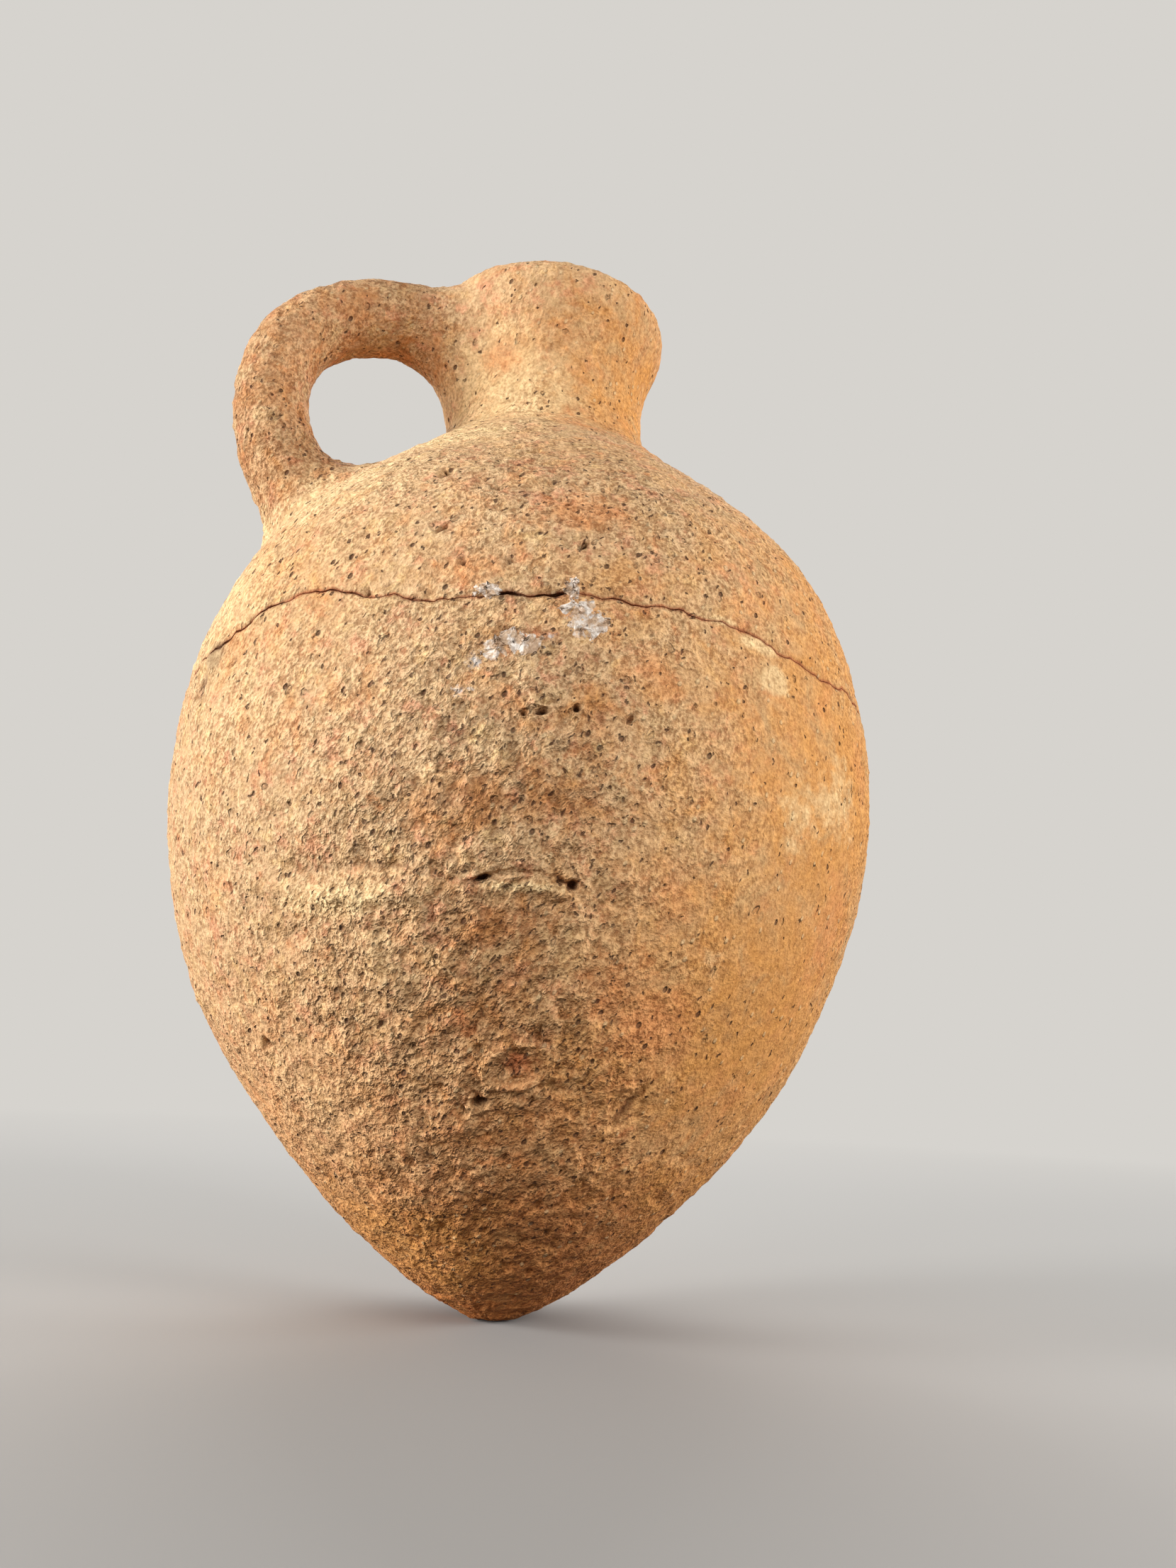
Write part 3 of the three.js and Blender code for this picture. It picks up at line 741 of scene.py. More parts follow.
# %% The scar's groove and the raised lip below it, as rows of places
groove = [(-112, 69.3), (-110, 69.9), (-108.2, 70.2), (-106.4, 70.2), (-104.6, 69.7), (-103, 69.2)]
groove_lip = [(-112, 67.6), (-110, 68.3), (-108, 68.5), (-106, 68.3), (-104.2, 67.7), (-102.2, 67.3)]
groove_shape, groove_lip_shape = (1.4, 0.6, 8, 0.50), (1.4, 0.7, 5, -0.42)
soft_marks = [(*place, *groove_shape) for place in groove]
soft_marks += [(*place, *groove_lip_shape) for place in groove_lip]

# %% Scraped strokes: azimuth, height, half sizes, turn and rise
strokes = [
    (-143, 67.4, 5, 1.2, -8, 0.7), (-133, 66.2, 6, 1.3, -2, 1.1), (-123, 66.6, 5, 1.2, 6, 0.9),
    (-129, 60, 1.4, 4.5, 12, 0.8), (-121, 62, 1.2, 3.5, -10, 0.8), (-118.5, 58.5, 2.5, 2, 0, 0.7),
    (-126, 54, 3, 2, 20, 0.65), (-138, 70.5, 6, 1, -3, -0.65), (-126, 70.5, 7, 1.1, 3, -0.75),
    (-136, 77, 4, 0.9, 14, 0.5), (-129, 80, 4, 0.8, 24, 0.45), (-143, 61, 4, 0.9, 8, -0.5),
    (-113, 61, 1, 5, -6, 0.45), (-99, 60, 1.1, 6, 8, 0.35), (-104, 52, 4, 1, 15, 0.35),
    (-114, 35, 5, 1.1, -8, 0.35), (-120, 30, 5, 1, -12, -0.3), (-106, 27, 5, 1.2, 10, 0.35),
    (-89, 37.2, 0.7, 3, 16, 0.55), (-84.6, 38.4, 0.7, 2.8, -28, -0.55), (-86.8, 34.6, 3, 0.7, 8, 0.5),
    (-86.8, 41, 1.6, 0.8, 0, 0.5), (-92, 29, 0.8, 4, 20, 0.5), (-96, 44, 0.8, 4, -12, 0.45),
    (-96, 83.5, 3, 0.5, 40, 0.3), (-98.5, 75, 2.6, 0.5, 55, 0.25), (-118, 88, 5, 1.2, 30, 0.35),
]
stroke_ranges = [(-150, -84), (20, 100), (1.6, 4.0), (0.6, 1.2), (-0.30, 0.36), (-20, 60)]
stroke_count = 80
draw = np.random.default_rng(11)
for _ in range(stroke_count):
    *place, rise, turn = [draw.uniform(*ends) for ends in stroke_ranges]
    strokes.append((*place, turn, rise))
soft_marks += [(*shape, -rise) for *shape, rise in strokes]

# %% The raised ring with its sunk middle, and shallow pits scattered over the whole outside
ring_shape = (-106.5, 43.6, 5.0, 3.5, 20)
ring_rise, ring_width, ring_sink, ring_middle = 0.75, 0.16, 0.3, 0.75
small_pit_count, small_pit_depth, small_pit_power = 170, 0.55, 2.4
small_pit_ranges = [(-180, 180), (6, 192), (0.55, 1.1)]
random_pits = np.random.default_rng(7)
drawn = [random_pits.uniform(*ends, small_pit_count) for ends in small_pit_ranges]
small_pits = [(*place, size, flatness * size, small_pit_depth * size) for *place, size in zip(*drawn)]

# %% Pressing them in
def fading(distance, reach):
    """1 at no distance, and nearly 0 beyond twice the reach."""
    return np.exp(-((distance / reach) ** 2))


def marks_at(points):
    """How far the marks press each point in."""
    pressed = np.zeros(len(points))
    for *shape, depth in pits:
        near = nearness(points, *shape)
        pressed += depth * (np.exp(-near**pit_power) - pit_lip * fading(near - pit_lip_at, pit_lip_width))
    pressed = heaped(points, dark_pits, pressed, dark_pit_power)
    pressed = heaped(points, soft_marks, pressed)
    near = nearness(points, *ring_shape)
    pressed -= ring_rise * fading(near - 1, ring_width)
    pressed += ring_sink * np.exp(-((near / ring_middle) ** 4))
    return pressed + heaped(points, small_pits, power=small_pit_power)


# How deep a point was pressed becomes the hollow mask, which the finish paints as shade: darker the deeper
# it is.
pressed_shade_from, pressed_shade_over = 0.4, 0.7
skin_points = points_of(skin)
skin_pressed = marks_at(skin_points)
place_points(skin, moved_out(skin_points, -skin_pressed))
write_mask(skin, "hollow", np.clip((skin_pressed - pressed_shade_from) / pressed_shade_over, 0, 1))
print(len(pits) + len(dark_pits), "placed pits and", small_pit_count, "small ones")

# %% A copy of the whole skin for the plaster to lie on
only(skin)
bpy.ops.object.duplicate()
skin_copy = bpy.context.object
skin_copy.name = "skin_under_plaster"

# %% [markdown]
# ## Parting the skin and giving each piece its inside
#
# The skin is parted where the real clay was joined or broke. The point and the two halves then get
# their insides, spun with the same number of turns, and the neck has its bore already. Open borders
# are bridged, so that every piece is a closed body with the real thickness of its wall.

# %% Parting by the number that each face carries
def parted(piece, name, number):
    """Takes the faces with one part number out of a piece as a new piece."""
    numbers = read(piece.data.attributes["part"].data, "value", kind=np.int32)
    start_edit(piece, "polygons", numbers == number)
    bpy.ops.mesh.separate(type="SELECTED")
    end_edit()
    made = [other for other in bpy.context.selected_objects if other != piece][0]
    made.name = name
    return made


plug = parted(skin, "point_plug", 0)
lower = parted(skin, "lower_half", 1)
upper = parted(skin, "upper_half", 2)
neck = skin
neck.name = "flared_neck"
print({piece.name: len(piece.data.polygons) for piece in (plug, lower, upper, neck)})

# %% The worn lips of the break: azimuth, spread in degrees and how much wider it gapes there
gapes = [
    (-160, 5, 0.3), (-150, 3, 0.16), (-138.5, 3, 0.14), (-134, 1.5, 0.14), (-122, 3, 0.08),
    (-113.4, 1, 0.2), (-111.2, 1.7, 0.42), (-107.6, 0.9, 0.25), (-105, 1.3, 0.5), (-95.5, 2.5, 0.12),
    (-88, 1.5, 0.1), (-20, 8, 0.2), (38, 6, 0.3), (95, 9, 0.2), (140, 5, 0.3),
]
gape_base, arris_base = 0.10, 0.12
chips = [(37, 0.4, 12), (61, 0.35, 100), (90, 0.25, 50)]
chip_depth, arris_in_gape = 0.28, 0.35
arris_reach, gape_reach, dirt_and_shade_reach = 0.55, 0.9, 0.30
dirt_and_shade_base, dirt_and_shade_in_gape = 0.28, 1.3


def gape_at(angle):
    """How wide the break gapes at angles round the jug."""
    gape = np.full(len(angle), gape_base)
    for azimuth, spread, width in gapes:
        away = (np.degrees(angle) - azimuth + 180) % 360 - 180
        gape += width * fading(away, spread)
    return gape


def opened_break(piece, side):
    """Draws a half's edge back from the break. Side is 1 for the upper half, -1 for the lower."""
    points = points_of(piece)
    angle = round_axis(points)[1]
    off = np.abs(points[:, 2] - break_line(angle))
    gape = gape_at(angle)
    chipped = np.clip(0.5 + 0.5 * waves(angle, chips), 0, 1)
    arris = arris_base + chip_depth * chipped**2 + arris_in_gape * (gape - gape_base)
    points = moved_out(points, -arris * fading(off, arris_reach))
    points[:, 2] += side * gape / 2 * fading(off, gape_reach)
    place_points(piece, points)
    # Along the break the edges get dirt and painted shade, darker where the break gapes wider.
    dirt_and_shade = fading(off, dirt_and_shade_reach) * np.clip(dirt_and_shade_base + dirt_and_shade_in_gape * gape, 0, 1)
    hollow = read(piece.data.attributes["hollow"].data, "value")
    write_mask(piece, "hollow", np.maximum(hollow, dirt_and_shade))


opened_break(lower, -1)
opened_break(upper, 1)
widest = float(gape_at(once_round).max())
print("the break gapes by", gape_base, "to", round(widest, 2), "mm")

# %% Joining an inner wall to a part of the skin
def edge_ends(piece):
    """The heights of the two ends of every edge."""
    return points_of(piece)[:, 2][read(piece.data.edges, "vertices", 2, np.int32)]


def open_edges(piece):
    """Which edges have a face on one side only."""
    edge_of_corner = read(piece.data.loops, "edge_index", kind=np.int32)
    return np.bincount(edge_of_corner, minlength=len(piece.data.edges)) == 1


def bridge_between(piece, low, high):
    """Bridges the two open borders that lie between two heights."""
    heights = edge_ends(piece).mean(axis=1)
    start_edit(piece, "edges", open_edges(piece) & (heights > low) & (heights < high))
    bpy.ops.mesh.bridge_edge_loops()
    end_edit()


def joined(piece, other):
    """Joins another mesh into a piece."""
    only(piece)
    other.select_set(True)
    bpy.ops.object.join()


sharp_from = math.radians(70)


def closed_up(piece):
    """Makes a piece sound and smooths its shading, but not over sharp edges."""
    made_sound(piece)
    bpy.ops.object.shade_smooth_by_angle(angle=sharp_from)
    print(piece.name, len(piece.data.polygons), "faces,", int(open_edges(piece).sum()), "open edges")


# %% The inner wall with the rings that the potter's fingers left
ring_pitch, ring_depth = 7.5, 0.35
inner_row_step, shoulder_row_step, knob_rows = 6.0, 1.8, 12


def inner_wall(name, line):
    """An inner wall spun from a line, with rings that climb slowly and the bend of the break."""
    wall = spin_line(name, line, turns)
    points = points_of(wall)
    radius, angle = round_axis(points)
    ring = np.sin(2 * math.pi * points[:, 2] / ring_pitch + angle)
    points[:, :2] *= (1 + ring_depth * ring / np.maximum(radius, 1))[:, None]
    place_points(wall, bent_to_break(points))
    return wall


plug_floor = height_below(body_inside, plug_inner_radius)
low_line = between(body_inside, plug_floor, break_height)[::-1]
high_line = in_turn(
    even_rows(between(body_inside, break_height, underside), shoulder_row_step),
    np.array([[bore_radius, underside], [bore_radius, joint_height - clay_gap]]),
)
turn = np.linspace(0, math.pi / 2, knob_rows)
knob_line = np.column_stack([
    (plug_inner_radius - clay_gap) * np.cos(turn), plug_floor + knob_height * np.sin(turn),
])
joined(lower, inner_wall("lower_inner_wall", even_rows(low_line, inner_row_step)))
joined(upper, inner_wall("upper_inner_wall", high_line))
joined(plug, spin_line("knob", knob_line, turns))

# %% Bridging each pair of open borders, given by the heights that they lie between
borders = [
    (lower, 90, 130), (lower, 0, 30), (upper, 90, 130), (upper, 150, 170), (neck, 160, 172),
    (plug, 0, 16),
]
for piece, low, high in borders:
    bridge_between(piece, low, high)
for piece in (plug, lower, upper, neck):
    closed_up(piece)

# %% [markdown]
# ## Clay smeared inside
#
# Two bands of clay close the joints inside: one over the seam of the body, one round the foot of
# the bore, which is what the eye meets through the mouth. Both are closed outlines spun round,
# then pushed in and out as by a finger.

# %% The band over the seam
coil_half_height, coil_thickness, coil_gap, coil_edge = 12, 3, 0.5, 0.8
coil_rows, coil_turns = 25, 180

heights = np.linspace(break_height - coil_half_height, break_height + coil_half_height, coil_rows)
swell = np.sin(np.linspace(0, math.pi, coil_rows))
face = inside_radius(heights) - coil_gap
back = face - coil_edge - (coil_thickness - coil_edge) * swell
band = np.vstack([np.column_stack([face, heights]), np.column_stack([back, heights])[::-1]])
seam_coil = spin_line("seam_coil", np.vstack([band, band[:1]]), coil_turns)
place_points(seam_coil, bent_to_break(points_of(seam_coil)))

# %% The band round the foot of the bore
neck_coil_thickness, neck_coil_rise, neck_coil_spread = 1.6, 6, 6
coil_bend_below, coil_bend_above = 1, 2
spread_columns, lining_steps = 6, 14

lining = bore_radius - clay_gap
coil_top = joint_height + neck_coil_rise
spread_radii = bore_radius + np.linspace(1, neck_coil_spread, spread_columns)
thin = np.linspace(neck_coil_thickness, coil_edge, spread_columns) / math.cos(shoulder_slope)
under = height_above(body_inside, spread_radii) - clay_gap
inner = bezier(
    (spread_radii[0], under[0] - thin[0]),
    (lining - neck_coil_thickness, underside - coil_bend_below),
    (lining - neck_coil_thickness, joint_height + coil_bend_above),
    (lining - coil_edge, coil_top),
    steps=lining_steps,
)
band = np.vstack([
    [[lining, coil_top], [lining, underside - clay_gap]],
    np.column_stack([spread_radii, under]),
    np.column_stack([spread_radii, under - thin])[::-1],
    inner[1:],
    [[lining, coil_top]],
])
neck_coil = spin_line("neck_coil", band, coil_turns)

# %% Pushing both bands in and out
coarse_climb, fine_climb, fine_share = 0.4, 0.3, 0.6


def finger_pressed(piece, depth, count):
    """Pushes a band in and out, a few times round, as a finger smears it."""
    points = points_of(piece)
    radius, angle = round_axis(points)
    z = points[:, 2]
    coarse = np.cos(count * angle + coarse_climb * z)
    fine = fine_share * np.cos((2 * count + 3) * angle - fine_climb * z)
    points[:, :2] *= (1 + depth / 2 * (coarse + fine) / radius)[:, None]
    place_points(piece, points)
    closed_up(piece)


finger_pressed(seam_coil, 0.3, 17)
finger_pressed(neck_coil, 0.12, 9)

# %% [markdown]
# ## The loop handle
#
# The handle was a roll of clay, bent into a loop and pressed on at both ends. It is made the same
# way: a straight cylinder is cut into many rings, and each ring is then carried to its place on
# the loop and squeezed to the oval that the handle has there.

# %% Sizes of the loop
handle_reach, handle_top_drop, handle_side_drop = 63.1, 2.2, 32.5
handle_foot_radius, handle_root_depth = 46.6, 9
handle_thickness, handle_width = (14.4, 14.0, 16.2), (18.0, 16.6, 18.0)
top_bend, side_bend_above, side_bend_below, foot_bend = 25.5, 20.5, 11, 11
top_rise, foot_lean = math.radians(8), math.radians(40)

root_height = jug_height - handle_top_drop - handle_thickness[0] / 2
root = np.array([-(waist_radius - handle_root_depth), root_height])
root_aim = np.array([-math.cos(top_rise), math.sin(top_rise)])
side = np.array([handle_thickness[1] / 2 - handle_reach, jug_height - handle_side_drop])
foot_aim = np.array([math.sin(foot_lean), -math.cos(foot_lean)])
foot_height = float(height_above(body_outside, handle_foot_radius))
foot = np.array([-handle_foot_radius, foot_height]) + foot_aim * handle_root_depth
handle_line = in_turn(
    bezier(root, root + top_bend * root_aim, side + [0, side_bend_above], side),
    bezier(side, side - [0, side_bend_below], foot - foot_aim * foot_bend, foot),
)
handle_lengths = lengths_along(handle_line)
handle_length = float(handle_lengths[-1])
print("handle length", round(handle_length, 1), "mm")

# %% Any place on the handle's surface
aim_step = 0.4


def on_line(run):
    """Places on the handle's middle line, this far along it."""
    return np.array([np.interp(run, handle_lengths, handle_line[:, i]) for i in (0, 1)])


def handle_place(share, angle, proud=0.0):
    """Places on the handle at shares of its length and angles round it, 0 facing out of the loop."""
    run = np.clip(share, 0, 1) * handle_length
    x, z = on_line(run)
    along_x, along_z = on_line(run + aim_step) - on_line(run - aim_step)
    size = np.hypot(along_x, along_z)
    eased = np.where(share < 0.5, smooth(share * 2) / 2, 0.5 + smooth(share * 2 - 1) / 2)
    thick = np.interp(eased, [0, 0.5, 1], handle_thickness) / 2 + proud
    wide = np.interp(eased, [0, 0.5, 1], handle_width) / 2 + proud
    out = np.cos(angle) * thick
    return np.column_stack([
        x + along_z / size * out, np.sin(angle) * wide, z - along_x / size * out,
    ])


# %% The roll of clay, cut into rings and bent
handle_from, handle_to = 0.07, 0.965
handle_sides, handle_rings, roll_radius = 96, 168, 8

handle = added(
    "clay_handle", bpy.ops.mesh.primitive_cylinder_add,
    vertices=handle_sides, radius=roll_radius * MM, depth=handle_length * MM,
)
start_edit(handle, "edges", np.abs(np.diff(edge_ends(handle), axis=1)[:, 0]) > 1)
bpy.ops.mesh.subdivide(number_cuts=handle_rings)
end_edit()
straight = points_of(handle)
share = straight[:, 2] / handle_length + 0.5
share = handle_from + (handle_to - handle_from) * share
place_points(handle, handle_place(share, round_axis(straight)[1]))
print("handle:", len(handle.data.polygons), "faces")

# %% [markdown]
# ## Smeared clay at the handle's ends
#
# Where the handle meets the wall, wet clay was wiped into the corner until no seam was left. Each
# smear is a torus laid in the corner. Its section is a fillet that starts just under the wall's
# surface, sweeps through the corner and ends just under the handle's, so it shows no edge.

# %% Where a side line of the handle runs into the wall
halvings = 30


def share_at_wall(angle, at_neck):
    """The share of the handle's length at which a side line enters the wall."""
    inside, clear = (0.0, 0.5) if at_neck else (1.0, 0.5)
    for _ in range(halvings):
        middle = (inside + clear) / 2
        x, y, z = handle_place(np.array([middle]), np.array([angle]))[0]
        if math.hypot(x, y) < outside_radius(z):
            inside = middle
        else:
            clear = middle
    return clear


def on_wall(point):
    """The wall's outside at a point's height and angle, and the direction out of it there."""
    height = min(point[2], jug_height - lean_step)
    place, _, _, out = wall_frame(math.degrees(math.atan2(point[1], point[0])), height)
    return place, out


# %% The section of a smear along one side line of the handle
smear_sides, smear_steps, buried_steps = 112, 40, 8
smear_sink, smear_cover = 0.32, 0.7
buried_corner, buried_foot = 1.2, 0.6


def fillet_section(angle, at_neck, smear):
    """The visible curve of a smear along one side line, and the curve that closes it inside."""
    corner = share_at_wall(angle, at_neck)
    out_of_loop = (1 + math.cos(angle)) / 2
    climb = smear["climb_in"] + (smear["climb_out"] - smear["climb_in"]) * out_of_loop
    climb = climb / handle_length * (1 if at_neck else -1)
    in_plane = smear["spread_out"] if math.cos(angle) > 0 else smear["spread_in"]
    spread = smear["spread_side"] + (in_plane - smear["spread_side"]) * abs(math.cos(angle))
    at = np.array([corner]), np.array([angle])
    middle, out = on_wall(handle_place(*at)[0])
    away = handle_place(*at, 1.0)[0] - handle_place(*at)[0]
    away = away - out * (away @ out)
    away = away / np.linalg.norm(away)
    foot, foot_out = on_wall(middle + away * spread)
    top = handle_place(np.array([corner + climb]), at[1], -smear_sink)[0]
    low = foot - foot_out * smear_sink
    shown = bezier(low, middle + (out + away) * smear_cover, top, steps=smear_steps)
    bend = middle - (out + away) * buried_corner
    return in_turn(shown, bezier(top, bend, low - foot_out * buried_foot, steps=buried_steps))


# %% The two smears
torus_radius, torus_thickness = 10, 3
top_smear = dict(climb_out=5.5, climb_in=14, spread_out=0.8, spread_in=16, spread_side=8)
foot_smear = dict(climb_out=10, climb_in=12, spread_out=7, spread_in=20, spread_side=9)


def smeared_ring(name, at_neck, smear):
    """A torus whose section round each side line of the handle is that line's fillet."""
    section_points = smear_steps + buried_steps + 1
    ring = added(
        name, bpy.ops.mesh.primitive_torus_add,
        major_segments=smear_sides, minor_segments=section_points,
        major_radius=torus_radius * MM, minor_radius=torus_thickness * MM,
    )
    points = points_of(ring)
    radius, around = round_axis(points)
    across = np.arctan2(points[:, 2], radius - torus_radius)
    side_of = np.round(around / (2 * math.pi) * smear_sides).astype(int) % smear_sides
    step_of = np.round(across / (2 * math.pi) * section_points).astype(int) % section_points
    for number in range(smear_sides):
        section = fillet_section(2 * math.pi * number / smear_sides, at_neck, smear)
        chosen = side_of == number
        points[chosen] = section[step_of[chosen]]
    place_points(ring, points)
    return ring


top_luting = smeared_ring("smear_at_rim", True, top_smear)
foot_luting = smeared_ring("smear_at_shoulder", False, foot_smear)
print("smears:", len(top_luting.data.polygons), "faces each")

# %% Wearing the handle and the smears with the same relief
for piece in (handle, top_luting, foot_luting):
    place_points(piece, made_uneven(points_of(piece)))
    closed_up(piece)
    wear(piece)

# %% [markdown]
# ## White mending plaster
#
# The plaster was dabbed on, and most of it has been rubbed away, so it stays in the hollows with
# ragged edges. Each dab is a fine grid wrapped on the skin by a Shrinkwrap modifier, then raised
# where the plaster is thick and sunk under the clay where there is none. The edge that shows is
# where it comes up through the clay.

# %% The dabs: name, azimuth, height, half size of the grid, and lobes (east, north and half sizes)
dabs = [
    ("plaster_patch_large", -101.4, 108.8, (5.6, 7.4), [
        (0.6, -1.6, 3.1, 2.5), (-1.4, 1.2, 1.9, 1.6), (-1.9, 4.2, 1.1, 2.3),
    ]),
    ("plaster_patch_wide", -110.3, 103.4, (6.2, 3.8), [
        (1.4, -0.2, 3, 1.4), (-3, -1, 1.5, 1.7), (-1, 0.6, 1.6, 1),
    ]),
    ("plaster_patch_small", -114.6, 112.0, (3.6, 2.6), [
        (0, 0.2, 2, 1.1), (1, -0.6, 1, 0.8),
    ]),
]
dab_step, dab_thickness, dab_rise, dab_clearance = 0.19, 0.45, 0.20, 3
ragged_sizes, ragged_strength, waves_each = (4.0, 2.4, 1.6, 1.1, 0.8), 0.13, 4
lobe_share, cover_loss, ragged_share = 0.55, 0.08, 0.75
crumb_base, crumb_share, crumb_scale = 0.75, 0.5, 1.7
far_off, edge_sink, bare_sink, cut_below = -3.0, 0.02, 0.8, -0.30


def ragged(x, y, number):
    """A field of overlapping waves, about -1 to 1, which makes an edge ragged."""
    made = np.zeros_like(x)
    draw = np.random.default_rng(100 + number)
    for size in ragged_sizes:
        for _ in range(waves_each):
            turn, shift = draw.uniform(0, 2 * math.pi, 2)
            run = (x * math.cos(turn) + y * math.sin(turn)) * 2 * math.pi / size
            made = made + ragged_strength * np.sin(run + shift)
    return made


def plaster_dab(number, name, azimuth, height, half_size, lobes):
    """One dab of plaster, wrapped on the skin and closed underneath."""
    columns, rows = [round(2 * half / dab_step) for half in half_size]
    grid = {"x_subdivisions": columns, "y_subdivisions": rows, "size": 2 * MM}
    dab = added(name, bpy.ops.mesh.primitive_grid_add, **grid)
    east, north = (points_of(dab)[:, :2] * half_size).T
    centre, along, up, out = wall_frame(azimuth, height)
    start = centre + np.outer(east, along) + np.outer(north, up) + out * dab_clearance
    place_points(dab, start)
    modify(dab, "SHRINKWRAP", target=skin_copy)
    inside = np.full(len(east), far_off)
    for lobe_x, lobe_y, wide, high in lobes:
        reach = ((east - lobe_x) / wide) ** 2 + ((north - lobe_y) / high) ** 2
        inside = np.maximum(inside, 1 - reach)
    cover = lobe_share * inside - cover_loss + ragged_share * ragged(east, north, number)
    cover = np.clip(cover, -1, 1)
    crumbly = ragged(crumb_scale * east, crumb_scale * north, number + 10)
    thick = dab_rise * np.sqrt(np.clip(cover, 0, 1)) * (crumb_base + crumb_share * crumbly)
    rise = np.where(cover > 0, thick - edge_sink, cover * bare_sink)
    place_points(dab, points_of(dab) + np.outer(rise, out))
    buried = rise < cut_below
    hidden_faces = [buried[list(face.vertices)].all() for face in dab.data.polygons]
    start_edit(dab, "polygons", np.array(hidden_faces))
    bpy.ops.mesh.delete(type="FACE")
    end_edit()
    modify(dab, "SOLIDIFY", thickness=dab_thickness * MM, offset=-1)
    closed_up(dab)
    return dab


plaster_pieces = [plaster_dab(number, *dab) for number, dab in enumerate(dabs, start=1)]
bpy.data.objects.remove(skin_copy)

# %% [markdown]
# ## Where the clay is stained, and where light and shade are painted
#
# The colour of fired clay wanders: orange blushes, pinkish brown where it is worn, tan on the
# right flank. Some places in the same lists are painted light and shade: highlights on raised
# ridges, a brighter left side of the neck and shoulder, and shade on the right of the neck and of
# the point. All are painted on every clay piece as soft attributes from the same list, and the
# material breaks their edges up with noise. Towards the point the colour also turns darker and
# more saturated.

